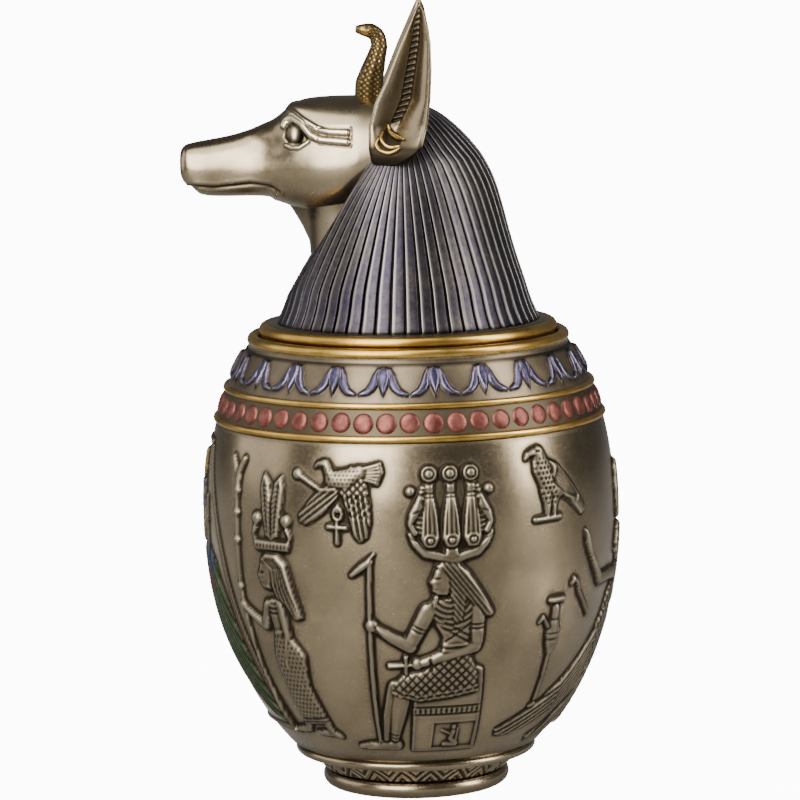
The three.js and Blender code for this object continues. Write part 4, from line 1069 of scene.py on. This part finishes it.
def lotus_band():
    """Blue lotus flowers hanging head down under the rim."""
    count, rows = 1100, 32
    top, low = travel(BODY_TOP), travel(LOTUS_RING_Z + 0.5)
    across, s = np.meshgrid(np.arange(count) * TURN / count, np.linspace(low, top, rows))
    pitch = TURN / LOTUSES
    y = s - (top - 1.3)
    bud, petal = lotus_distance((across % pitch) - pitch / 2, y, pitch / 2, 11.6)
    height = np.maximum(1.35 * dome(-bud / 1.6), 1.1 * dome(-petal / 1.5))
    flower = np.minimum(bud, petal)
    # Painted shade in the crease round each bud, round the flowers, and along the band's top under the rim
    # and its foot
    crease = peak(bud, 0.35) * (petal < 0.3)
    shade = np.exp(-np.abs(flower)) * (flower > -0.25)
    edge = unit((y + 0.6) / 1.2) + unit((low + 1.2 - s) / 1.2)
    return add_mesh(
        "lotus_band",
        on_wall(across, s, height - 0.25 * crease),
        [grid_faces(rows, count, True)],
        band_metal,
        wash=unit(unit(shade) + 0.8 * crease + edge),
        painted=step((0.25 - flower) / 0.3),
        # Worn brightness with a painted highlight just inside each flower's outline
        rubbed=unit(1 - np.abs(flower + 0.7) / 0.4) * 0.8,
    )


# Sectors of the wall as name, left and right end across, and cell size, with the finest before the camera
WALL_SECTORS = [
    ("wall_front", -180.0, -32.0, 0.62),
    ("wall_middle", -32.0, 69.0, 0.41),
    ("wall_right", 69.0, 165.0, 0.54),
    ("wall_back", 165.0, TURN - 180.0, 1.1),
]
# Gilt rings of the jar as name, radius, height and thickness
GILT_RINGS = [
    ("bead_ring", wall_radius(BEAD_RING_Z) + 0.1, BEAD_RING_Z, 1.35),
    ("lotus_ring", wall_radius(LOTUS_RING_Z) + 0.1, LOTUS_RING_Z, 1.3),
    ("rim_ring", RECESS_RADIUS + 1.75, RIM_TOP - 2.2, 2.25),
]


def jar_pieces():
    core = jar_core()
    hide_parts("jar")
    pieces = [core] + [carved_wall(*sector) for sector in WALL_SECTORS]
    pieces.append(foot_band())
    pieces += [torus(*ring, gold) for ring in GILT_RINGS]
    return pieces + [bead_band(), lotus_band()]


# Lid


def collar():
    spigot_bottom = COLLAR_BOTTOM - 8
    profile = [(0.01, spigot_bottom), (MOUTH_RADIUS - 1.4, spigot_bottom)]
    profile += arc(MOUTH_RADIUS - 1.5, spigot_bottom + 1, 1.0, -60, 0, 4)
    profile += [(MOUTH_RADIUS - 0.5, COLLAR_BOTTOM), (RECESS_RADIUS - 1.5, COLLAR_BOTTOM)]
    profile += [(RECESS_RADIUS - 0.9, COLLAR_BOTTOM + 1), (RECESS_RADIUS - 2.6, COLLAR_TOP - 1.6)]
    profile += [(53.8, COLLAR_TOP - 0.2), (0.01, COLLAR_TOP)]
    segments = 180
    faces = tube_faces(len(profile), segments)
    return add_mesh("lid_collar", revolve(profile, segments), faces, plain_bronze)


CLOTH_Z = [0, 0.075, 0.19, 0.3, 0.41, 0.52, 0.635, 0.745, 0.82, 0.893, 0.965, 0.992, 1.0]
CLOTH_R = [50.8, 48.0, 45.0, 42.1, 39.6, 37.3, 34.5, 30.1, 25.4, 19.6, 11.6, 5.4, 0.6]
HOOD = [(-50.2, 182.2), (-47.6, 189.4), (-16, 240.5), (0, 265.6)]
EAR_ANGLE = 88.0
STRIPE_ANGLE = 6.517
FAN_LOW, FAN_HIGH = 195.0, 244.0


def cloth_radius(z):
    return smooth_through((z - COLLAR_TOP) / CLOTH_HEIGHT, CLOTH_Z, CLOTH_R)


def hood_angle(z):
    """Angle of the cloth's front edge at a height, in degrees from the jackal's nose."""
    return np.degrees(np.arccos(np.clip(-edge_at(z, HOOD) / cloth_radius(z), -1, 1)))


def stripe_angle(at_base, z):
    """Angle at a height of the stripe line that starts at an angle on the base: the lines fan out from
    the ear, and the front ones run out on the cloth's slanted edge."""
    edge = hood_angle(z)
    pole = np.maximum(EAR_ANGLE, edge + 1)
    back = unit((at_base - EAR_ANGLE) / (180 - EAR_ANGLE))
    gathered = unit((z - FAN_LOW) / (FAN_HIGH - FAN_LOW)) ** 1.5
    gathered = gathered + 0.07 * np.maximum(z - FAN_HIGH, 0)
    spread = np.maximum(1 - (0.58 - 0.58 * back ** 0.75) * gathered, 0.05)
    on_front = pole + (at_base - EAR_ANGLE) * np.maximum(1 - 0.6 * gathered, 0.05)
    on_front = np.maximum(on_front, edge)
    return np.where(at_base < EAR_ANGLE, on_front, pole + (180 - pole) * back * spread)


def headcloth():
    """The striped cloth: flat bands parted by narrow deep grooves, open in front along a slanted edge."""
    rows = 88
    across_band = np.array([-0.5, -0.455, -0.42, -0.385, -0.35, -0.3, -0.1, 0.12, 0.3, 0.36, 0.4, 0.445])
    lowest = hood_angle(COLLAR_TOP)
    bands = math.ceil((180 - lowest) / STRIPE_ANGLE)
    place = (np.arange(bands + 1)[:, None] + across_band + 0.5).ravel()
    last = (180 - lowest) / STRIPE_ANGLE
    place = np.unique(np.append(place[place < last], last))
    half_base = 180 - place[::-1] * STRIPE_ANGLE
    at_base = np.concatenate([half_base, half_base[-2::-1]])[None, :]
    side = np.concatenate([-np.ones(len(half_base)), np.ones(len(half_base) - 1)])
    phase = (np.concatenate([place[::-1], place[1:]]) % 1) - 0.5
    t = np.linspace(0, 1, rows) ** 0.92
    z = (COLLAR_TOP - 0.4 + t * (CLOTH_HEIGHT + 0.4))[:, None]
    angle = np.radians(stripe_angle(at_base, z))
    groove = step((np.abs(phase) - 0.385) / 0.09)
    lip = peak(phase - 0.33, 0.05)
    r = cloth_radius(z)
    wider = stripe_angle(np.minimum(at_base + STRIPE_ANGLE / 2, 180), z)
    narrower = stripe_angle(np.maximum(at_base - STRIPE_ANGLE / 2, lowest), z)
    size = np.clip(np.radians(wider - narrower) * r / 5.5, 0.12, 1)
    out = size * (-1.5 * groove + 0.22 * lip + 0.25 * (1 - (2 * phase) ** 2))
    radius = np.maximum(r + out, 0.3)
    points = np.stack([-radius * np.cos(angle), side * radius * np.sin(angle), z + 0 * radius], -1)
    # Painted shade at the foot by the collar and a painted shadow under the ear; the grooves take patina and
    # painted shade
    base_shade = unit((COLLAR_TOP + 2 - z) / 2) * 0.8
    shadow_under_ear = unit(1 - np.hypot((points[..., 0] - 1) / 14, (z - 247) / 8)) * 0.7
    return add_mesh(
        "headcloth",
        points,
        tube_faces(rows, at_base.size),
        cloth_metal,
        wash=unit(1.1 * groove + base_shade + shadow_under_ear + 0 * radius),
        # Worn lips with a painted highlight
        rubbed=unit(lip * 0.5 + 0 * radius),
    )


# Stations of the head: x, top, bottom, half width, squareness
HEAD = [
    (-86.3, 246.0, 241.0, 2.0, 2.2),
    (-86.1, 248.2, 239.4, 5.0, 2.4),
    (-85.4, 249.8, 237.6, 7.4, 2.5),
    (-84.0, 251.0, 235.6, 8.8, 2.6),
    (-82.0, 251.6, 233.4, 9.5, 2.6),
    (-79.0, 252.2, 231.0, 10.0, 2.6),
    (-74.0, 253.0, 230.1, 10.3, 2.5),
    (-67.0, 254.3, 229.9, 11.0, 2.4),
    (-60.0, 256.2, 229.9, 12.2, 2.3),
    (-55.0, 258.2, 229.7, 13.8, 2.2),
    (-50.0, 260.4, 228.9, 15.8, 2.2),
    (-46.0, 263.4, 227.6, 17.4, 2.2),
    (-42.0, 266.4, 226.0, 18.9, 2.2),
    (-37.0, 268.0, 224.0, 20.6, 2.2),
    (-31.0, 268.6, 223.2, 22.6, 2.2),
    (-24.0, 268.8, 224.6, 24.8, 2.2),
    (-17.0, 268.8, 229.0, 26.2, 2.2),
    (-8.0, 268.2, 233.0, 26.6, 2.2),
    (2.0, 265.0, 238.0, 24.0, 2.2),
    (10.0, 258.0, 244.0, 18.0, 2.2),
]
MOUTH = [(-86.6, 235.8), (-81.1, 235.4), (-72.9, 234.7), (-59.2, 236.1), (-51.7, 235.1), (-48.6, 233)]
LOWER_LIP = [(-80, 234.2), (-72.9, 233.6), (-60, 233.9), (-51, 234.2)]
EYE_OPENING = [
    (-46.2, 254.2), (-45, 258.4), (-42.6, 260), (-39.6, 258.2), (-36.6, 254), (-37.6, 252.4), (-41.4, 251.4),
    (-44.6, 252),
]
EYEBALL = (-42.4, 255.6)
LID_STRIPE = [
    (-45.8, 258.4), (-44.6, 260.4), (-42.2, 261), (-39, 259), (-35.6, 255), (-31.6, 253.2), (-21.5, 252.4),
]
# The upper lid that runs on as a stripe, the brow stripe and the lower lid, as route, reach and height
EYE_LINES = [
    (LID_STRIPE, 1.35, 1.4),
    ([(-44.6, 263), (-41.6, 262.4), (-37.4, 259.9), (-33, 257.4), (-28.5, 256.3), (-21.5, 256)], 1.15, 1.1),
    ([(-45.2, 251.2), (-43.2, 250.3), (-40, 250.3), (-36.4, 252.6)], 0.7, 0.7),
]
BETWEEN_STRIPES = [(-33, 257.2), (-20.8, 257.6), (-20.8, 251.2), (-33, 252.4)]
# Soft places on the head's sides as x, z, half sizes and height: the hollow before the eye, cheek, muzzle
SWELLINGS = [(-53, 250.5, 7, 4, -1.4), (-32, 243, 10, 8, 0.9), (-74, 243, 9, 5, 0.7)]
# Painted shade in the same way: the eye's inner corner, the hollow before it, and folds round the mouth
SHADED_PLACES = [
    (-48.4, 253.4, 2.2, 2.2, 0.7), (-54, 251, 6, 2, 0.25), (-74, 239.3, 3, 4, 0.4),
    (-40.5, 230.6, 5, 2.4, 0.45),
]


def head_angles(count):
    """Angles round the head, closer together at the height of the eyes."""
    even = np.linspace(0, 2 * math.pi, 721)
    from_eye = np.minimum(np.abs(even - math.radians(32)), np.abs(even - math.radians(148)))
    density = 1 + 1.9 * step((math.radians(24) - from_eye) / 0.15)
    gone = np.concatenate([[0], np.cumsum((density[1:] + density[:-1]) / 2)])
    return np.interp(np.arange(count) / count, gone / gone[-1], even)


def head_form(rows, around):
    """The head without its features: x, y and z of its rings, and each ring's half width and middle."""
    x = smooth_through(np.linspace(0, 1, rows), [0, 0.04, 0.1, 1], [-86.3, -85.6, -82, 10])[:, None]
    top, bottom, half, square = (smooth_through(x, column(HEAD, 0), column(HEAD, k)) for k in (1, 2, 3, 4))
    angle = head_angles(around)
    c, s = np.cos(angle), np.sin(angle)
    middle = 0.42 * top + 0.58 * bottom
    bend = 2 / square
    y = half * np.sign(c) * np.abs(c) ** bend
    rise = np.where(s > 0, top - middle, middle - bottom)
    z = middle + rise * np.sign(s) * np.abs(s) ** bend
    return x + 0 * z, y, z, half, middle


def pushed_out(points, centre, out):
    """The points moved along the surface's outward normal."""
    along = np.gradient(points, axis=0)
    normal = np.cross(along, np.roll(points, -1, 1) - np.roll(points, 1, 1))
    normal /= np.linalg.norm(normal, axis=-1, keepdims=True) + 1e-9
    outward = np.where(np.sum(normal * (points - centre), -1, keepdims=True) < 0, -1, 1)
    return points + normal * outward * out[..., None]


def soft_places(x, z, places):
    total = 0
    for place_x, place_z, half_x, half_z, height in places:
        total = total + height * spot((x - place_x) / half_x, (z - place_z) / half_z)
    return total


def head():
    """The jackal's head: rings along X, with the features raised and cut on both sides alike."""
    rows, around = 290, 190
    x, y, z, half, middle = head_form(rows, around)
    side = step((np.abs(y) / half - 0.35) / 0.3)
    lip_height = np.interp(x, column(MOUTH, 0), column(MOUTH, 1))
    low_jaw = step(lip_height - z) * step((-49.5 - x) / 3)
    mouth = route_distance(x, z, thin(MOUTH))
    out = side * (soft_places(x, z, SWELLINGS) + 0.2 * peak(mouth - 1.7, 0.8) - 1.5 * peak(mouth, 0.75))
    over_eye = spot((x + 44) / 6, (z - 265) / 2.6)
    out = out - low_jaw + 1.5 * step((np.abs(y) - 3) / 4) * over_eye
    opening = polygon_distance(x, z, EYE_OPENING)
    ball_x, ball_z = (x - EYEBALL[0]) / 3.5, (z - EYEBALL[1]) / 4.2
    ball = np.sqrt(unit(1 - ball_x ** 2 - ball_z ** 2))
    out = out + side * step(-opening / 0.7) * (-1.9 + 2.9 * ball)
    near_lines = np.full(x.shape, 1e9)
    ridge = np.zeros(x.shape)
    for route, reach, height in EYE_LINES:
        distance = route_distance(x, z, thin(route))
        bump = side * np.sqrt(unit(1 - (distance / reach) ** 2))
        out = out + height * bump * (opening > -0.3)
        ridge = np.maximum(ridge, bump)
        near_lines = np.minimum(near_lines, np.abs(distance - reach - 0.15))
    out = out - 0.5 * side * peak(polygon_distance(x, z, BETWEEN_STRIPES) - 0.3, 0.5) * (x > -33)
    centre = np.stack([x, 0 * y, middle + 0 * y], -1)
    points = pushed_out(np.stack([x, y, z], -1), centre, out)
    in_eye = step(-opening / 0.5) * side
    rim_of_ball = peak(np.hypot(ball_x, ball_z) - 0.95, 0.3)
    pupil = step((1 - np.hypot((ball_x + 0.25) / 0.5, ball_z / 0.75)) / 0.3)
    # Painted shade along the mouth, the lower lip and the edges of the eye's stripes, in the eye's hollow and
    # round its ball, and in the shaded places; the pupil is darker
    dark = side * (peak(mouth, 0.85) + 0.5 * peak(route_distance(x, z, thin(LOWER_LIP)), 0.35))
    dark += 0.85 * peak(near_lines, 0.4) * side * (x > -47.5) * (x < -20.4)
    dark += in_eye * (0.9 * rim_of_ball + 0.2 + 0.45 * pupil) + side * soft_places(x, z, SHADED_PLACES)
    # Painted shadow on the side before the ear, and painted shade under the jaw and low at the back of the
    # head
    dark += 0.6 * step((np.abs(y) - 12) / 6) * spot((x + 14.5) / 3.5, (z - 263) / 8)
    dark += 0.8 * step((229 - z) / 4) * step((x + 42) / 12) + 0.5 * step((x + 16) / 8) * step((250 - z) / 8)
    # A painted highlight on the eyeball, and painted highlights on the eye's stripes
    glint = in_eye * unit(ball - 0.75) * 4 * (ball_x > 0)
    return add_mesh(
        "head",
        points,
        tube_faces(rows, around),
        plain_bronze,
        wash=unit(dark),
        rubbed=unit(0.9 * ridge * (1 - in_eye) + 0.8 * glint),
    )


def loft(stations, around=48, steps=60):
    """Rings of a closed tube bent in the XZ plane: stations are (x, z, half in the plane, half across)."""
    t = np.linspace(0, 1, len(stations))
    fine = np.linspace(0, 1, steps)
    x, z, deep, wide = (smooth_through(fine, t, column(stations, k))[:, None] for k in range(4))
    dx, dz = np.gradient(x, axis=0), np.gradient(z, axis=0)
    length = np.hypot(dx, dz)
    angle = turn_angles(around)
    inward = deep * np.cos(angle)
    return np.stack([x - dz / length * inward, wide * np.sin(angle), z + dx / length * inward], -1)


NECK = [
    (-19, 182, 15, 15), (-20.5, 198, 14.6, 14.8), (-22, 212, 14.8, 15), (-24, 224, 15.5, 16),
    (-27, 236, 17, 18),
]
THROAT = [
    (-30.6, 182, 8, 8.4), (-30.2, 196, 7.7, 8.2), (-29.4, 206, 7.5, 8), (-29.8, 213.5, 7.6, 8.2),
    (-31.8, 220.4, 8, 8.6), (-35.4, 228, 8.4, 9.4), (-38.5, 234, 9, 10),
]
CREASE_X = -35.6


def neck_part(name, stations, crease, ground, bright):
    """The neck's side muscle or the throat before it, with painted shade of a given depth in the crease
    between them and under the jaw, an even painted shade as its ground and an even painted brightness.
    """
    points = loft(stations)
    x, z = points[..., 0], points[..., 2]
    under_jaw = 0.45 * unit((z - 221) / 6)
    return add_mesh(
        name,
        points,
        tube_faces(*x.shape),
        plain_bronze,
        wash=unit(crease * peak(x - CREASE_X, 2.2) + under_jaw + ground),
        rubbed=np.full(x.shape, bright),
    )


# Edges of the near ear and of the ribbed band in its hollow, as (x, z) from the bottom up
EAR_LOW, EAR_HIGH = 243.2, 304.9
EAR_FRONT = [
    (-9, 243.2), (-12.5, 244.6), (-13.6, 250), (-13.4, 258.6), (-11.1, 267.2), (-7.2, 275), (-2, 287.4),
    (2.5, 297.2), (5.2, 303), (6.4, 304.9),
]
EAR_REAR = [
    (-5, 243.2), (-2, 244.5), (3.3, 247.5), (6.8, 250.9), (9.1, 259.9), (10.2, 269), (10.8, 279.8),
    (10.6, 290.6), (8.6, 301), (6.8, 304.9),
]
BAND_FRONT = [(-5.8, 257), (-4.8, 260.3), (-1.3, 268.3), (0.9, 279), (2.8, 289.1), (4.9, 299.1), (6.2, 303.4)]
BAND_REAR = [(-3, 257), (-1.5, 258.9), (2.8, 268.2), (4.6, 279), (6.2, 289), (7.0, 299), (6.9, 303.4)]
EAR_SPREAD = 29.0
EAR_SKEW = 0.3
EAR_MIDDLE = -5.8
# Three folds of skin in the bottom of the hollow, as (x, z, half thickness), and the outline round them
FOLDS = [
    [(-6, 259, 0.5), (-5.3, 256.5, 1.3), (-3.1, 254.6, 1.5), (-0.2, 253.7, 0.6)],
    [(-8, 256.9, 0.4), (-8.9, 254.2, 0.85), (-7.5, 251.8, 0.95), (-4.9, 250.7, 0.95), (-1.6, 251.3, 0.5)],
    [
        (-9.6, 254.8, 0.4), (-10.8, 252.1, 0.8), (-9.5, 249.9, 0.85), (-6.2, 248.7, 0.9),
        (-3.2, 249.6, 0.75), (-1.6, 250.8, 0.4),
    ],
]
FOLD_AREA = [(-6, 259), (-10.8, 253), (-9.5, 249.6), (-6, 248.6), (-1.5, 250.8), (-0.5, 253.8)]


def side_name(name, side):
    return f"{name}_{'near' if side < 0 else 'far'}"


def ear_hollow(x, z):
    """The depth of the open side under the plane of its rims, the ribbed band's share, and its ribs."""
    front, rear = edge_at(z, EAR_FRONT), edge_at(z, EAR_REAR)
    band_front, band_rear = edge_at(z, BAND_FRONT), edge_at(z, BAND_REAR)
    size = np.clip((rear - front) / 20, 0.05, 1)
    lip = 0.9 * size ** 0.3
    before = unit((x - front - lip) / (band_front - front - lip + 1e-6))
    after = unit((rear - lip - x) / (rear - lip - band_rear + 1e-6))
    depth = 5.2 * size * np.minimum(step(before * 0.8) * 1.15, step(after * 0.62) * 1.5)
    rounded = np.sqrt(unit(np.minimum(x - front, rear - x) / lip))
    depth = depth * (0.1 + 0.9 * step((z - 247) / 11)) + 1 - rounded
    in_band = step((x - band_front) / 0.5) * step((band_rear - x) / 0.4)
    in_band = in_band * step((z - 258) / 2) * step((304 - z) / 1.5)
    rib = 0.5 + 0.5 * np.cos(2 * math.pi * (z - 0.35 * (x - band_front)) / 2.25)
    depth = depth + in_band * size ** 0.5 * (0.7 + 0.8 * (1 - rib) ** 1.5)
    return depth, in_band, rib


def ear_plane(x, z):
    """Distance from the middle plane to the ear's rims: its foot stands out and curls under."""
    under = 1 - np.sqrt(1 - np.clip((249 - z) / 6, 0, 0.98) ** 2)
    flare = 3.0 * step((259 - z) / 9) - 3.6 * under
    return EAR_SPREAD + EAR_SKEW * (x - EAR_MIDDLE) + flare


def ear(side):
    """A tall pointed ear: its hollow looks sideways and a little forwards, with a ribbed band inside."""
    rows, across, behind = 170, 76, 26
    z = (EAR_LOW + (EAR_HIGH - EAR_LOW) * np.linspace(0, 1, rows) ** 0.97)[:, None]
    front, rear = edge_at(z, EAR_FRONT), edge_at(z, EAR_REAR)
    even = np.linspace(0, 1, across)
    x = front + (rear - front) * (0.25 - 0.25 * np.cos(math.pi * even) + 0.5 * even)
    depth, in_band, rib = ear_hollow(x, z)
    back_share = 0.5 + 0.5 * np.cos(np.linspace(0, math.pi, behind + 2)[1:-1])
    back_x = front + (rear - front) * back_share
    size = np.clip((rear - front) / 22, 0.04, 1)
    bulge = 1.2 * size ** 0.4 + 8.5 * size * np.sin(math.pi * back_share) ** 0.75
    points = np.concatenate([
        np.stack([x, side * (ear_plane(x, z) - depth), z + 0 * x], -1),
        np.stack([back_x, side * (ear_plane(back_x, z) - 1.0 - bulge), z + 0 * back_x], -1),
    ], 1)
    past_band = x - edge_at(z, BAND_REAR)
    # Patina and painted shade in the front of the hollow, in the ribbed band, round the folds, at the bottom
    # and along the rear edge
    dark = 0.6 * step(-past_band / 1.5) * step((x - front - 1.2) / 3) + in_band * (0.25 + 0.75 * (1 - rib))
    dark = dark + step(-polygon_distance(x, z + 0 * x, FOLD_AREA) / 0.8)
    dark = dark + 0.95 * step((255 - z) / 6) + 0.15 * step((262 - z) / 8)
    dark = dark + 0.7 * peak(rear - x - 1.4 * size, 0.4)
    # Painted highlights on the front rim and just behind the ribbed band
    bright = 0.6 * peak(x - front - 0.8, 0.35) * step((z - 262) / 5)
    bright = bright + peak(past_band - 0.25, 0.3) * step((z - 259) / 3) * step((300 - z) / 20)
    return add_mesh(
        side_name("ear", side),
        points,
        tube_faces(rows, across + behind),
        plain_bronze,
        # Painted shade all over the ear's back
        wash=np.concatenate([unit(dark), 0.35 + 0 * back_x], 1),
        rubbed=np.concatenate([unit(bright), 0 * back_x], 1),
    )


def ear_folds(side):
    """Three gilt folds of skin in the bottom of the ear's hollow."""
    points, faces = [], []
    around, steps = 12, 26
    angle = turn_angles(around)
    fine = np.linspace(0, 1, steps)
    for number, route in enumerate(FOLDS):
        t = np.linspace(0, 1, len(route))
        x, z = (smooth_through(fine, t, column(route, k)) for k in (0, 1))
        half = np.interp(fine, t, column(route, 2))
        dx, dz = np.gradient(x), np.gradient(z)
        turned = (half / np.hypot(dx, dz))[:, None] * np.cos(angle)
        y = (ear_plane(x, z) - ear_hollow(x, z)[0] + 0.5)[:, None] + 1.3 * half[:, None] * np.sin(angle)
        ring_x, ring_z = x[:, None] - dz[:, None] * turned, z[:, None] + dx[:, None] * turned
        points.append(np.stack([ring_x, side * y, ring_z], -1).reshape(-1, 3))
        faces += tube_faces(steps, around, number * steps * around)
    return add_mesh(side_name("ear_folds", side), np.concatenate(points), faces, cobra_gold)


COBRA = [
    (-12.6, 265.5, 5.2, 5), (-13.2, 269, 5.5, 5.6), (-13.0, 272.5, 5.5, 6), (-12.3, 276, 4.9, 6.4),
    (-11.1, 280, 4.3, 6.6), (-9.9, 284, 3.6, 5.6), (-9.0, 287.5, 3.2, 4.2), (-9.6, 290.8, 3.1, 3.4),
    (-12.2, 293.2, 2.9, 3.4), (-15.2, 293.7, 2.3, 3.1), (-18.0, 294.0, 1.3, 1.7),
]


def cobra():
    """The rearing cobra over the brow: a plain belly strip in front and scales behind."""
    points = loft(COBRA, around=96, steps=150)
    rows, around = points.shape[:2]
    t = np.linspace(0, 1, rows)[:, None]
    angle = (turn_angles(around))[None, :]
    from_belly = np.abs(((angle + math.pi) % (2 * math.pi)) - math.pi)
    belly = step((0.95 - from_belly) / 0.15) * step((0.8 - t) / 0.05)
    scales = (0.5 + 0.5 * np.cos(angle * 13 + t * 110)) * (0.5 + 0.5 * np.cos(angle * 13 - t * 110))
    plates = 0.5 + 0.5 * np.cos(t * 190)
    on_head = step((t - 0.8) / 0.05)
    eye = spot((points[..., 0] + 13.6) / 0.9, (points[..., 2] - 294.6) / 0.75) * on_head
    # A painted highlight along the belly strip's edges
    edge = peak(from_belly - 0.95, 0.1) * step((0.8 - t) / 0.05)
    # Patina and painted shade between the scales and on the belly's plates, less on the head; the eye is dark
    wash_here = (1 - belly) * np.clip((0.8 - scales) * 1.9, 0, 0.96) * (1 - 0.7 * on_head)
    wash_here = wash_here + belly * (0.5 + 0.4 * (1 - plates)) + eye
    return add_mesh(
        "cobra",
        points,
        tube_faces(rows, around),
        cobra_gold,
        wash=unit(wash_here),
        # Worn scale tops with painted highlights, the belly's edges and a little on the head
        rubbed=unit((1 - belly) * (scales - 0.7) * 1.5 + 0.9 * edge + 0.15 * on_head),
    )


def lid_pieces():
    base = collar()
    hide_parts("jackal_lid")
    pieces = [base, headcloth(), head()]
    pieces += [neck_part("neck", NECK, 0.9, 0, 0.2), neck_part("throat", THROAT, 0, 0.25, 0.0)]
    pieces += [ear(-1), ear(1), ear_folds(-1), ear_folds(1), cobra()]
    pieces.append(torus("lid_ring", RECESS_RADIUS - 3.1, 179.2, 2.5, gold))
    return pieces


for piece in jar_pieces() + lid_pieces():
    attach(piece, "root")

# Floor, light and camera


def stage():
    size = 60.0
    corners = [(-size, -size, 0), (size, -size, 0), (size, size, 0), (-size, size, 0)]
    mesh = bpy.data.meshes.new("floor")
    mesh.from_pydata(corners, [], [(0, 1, 2, 3)])
    mesh.materials.append(floor_material())
    floor = bpy.data.objects.new("floor", mesh)
    bpy.context.scene.collection.objects.link(floor)


def area_light(name, place, aim, size, power, spread=180):
    data = bpy.data.lights.new(name, "AREA")
    data.shape = "RECTANGLE"
    data.size, data.size_y = size
    data.energy = power
    data.spread = math.radians(spread)
    lamp = bpy.data.objects.new(name, data)
    lamp.location = place
    lamp.rotation_euler = (Vector(aim) - Vector(place)).to_track_quat("-Z", "Y").to_euler()
    bpy.context.scene.collection.objects.link(lamp)


def lights():
    aim = (0, 0, 0.15)
    area_light("key", (-0.58, -1.16, 0.84), aim, (0.95, 1.5), 60)
    area_light("strip", (1.24, -0.40, 0.80), aim, (0.52, 1.5), 32)
    area_light("left", (-1.35, 0.12, 0.70), aim, (1.2, 1.3), 9)
    area_light("top", (-0.30, -0.55, 1.65), aim, (1.3, 0.8), 17)
    # Two narrow beams brighten the floor to the right and in front, which the jar's lower half reflects
    area_light("floor_right", (0.28, -0.09, 1.3), (0.28, -0.09, 0), (0.10, 0.16), 1.6, 10)
    area_light("floor_front", (-0.13, -0.15, 1.3), (-0.13, -0.15, 0), (0.08, 0.08), 0.5, 6)
    world = bpy.data.worlds.new("studio")
    world.use_nodes = True
    nodes, links = world.node_tree.nodes, world.node_tree.links
    background = nodes["Background"]
    background.inputs["Color"].default_value = (1, 1, 1, 1)
    path = nodes.new("ShaderNodeLightPath")
    strength = nodes.new("ShaderNodeMapRange")
    strength.inputs["To Min"].default_value = 0.5
    strength.inputs["To Max"].default_value = 0.12
    links.new(path.outputs["Is Glossy Ray"], strength.inputs["Value"])
    links.new(strength.outputs["Result"], background.inputs["Strength"])
    bpy.context.scene.world = world


# The camera stands 1.6 m before the jar and a little higher than the lid, turned a little to one side
CAMERA_PLACE = Vector((0, -1.6, 0.370))
CAMERA_AIM = Vector((-0.0036, 0, 0.1504))
CAMERA_LENS = 187.6
CAMERA_ROLL = math.radians(-1.1)


def camera():
    data = bpy.data.cameras.new("camera")
    data.lens = CAMERA_LENS
    data.sensor_width = 36
    data.clip_end = 50
    eye = bpy.data.objects.new("camera", data)
    look = (CAMERA_AIM - CAMERA_PLACE).to_track_quat("-Z", "Y").to_matrix().to_4x4()
    eye.matrix_world = Matrix.Translation(CAMERA_PLACE) @ look @ Matrix.Rotation(CAMERA_ROLL, 4, "Z")
    bpy.context.scene.collection.objects.link(eye)
    bpy.context.scene.camera = eye


stage()
lights()
camera()
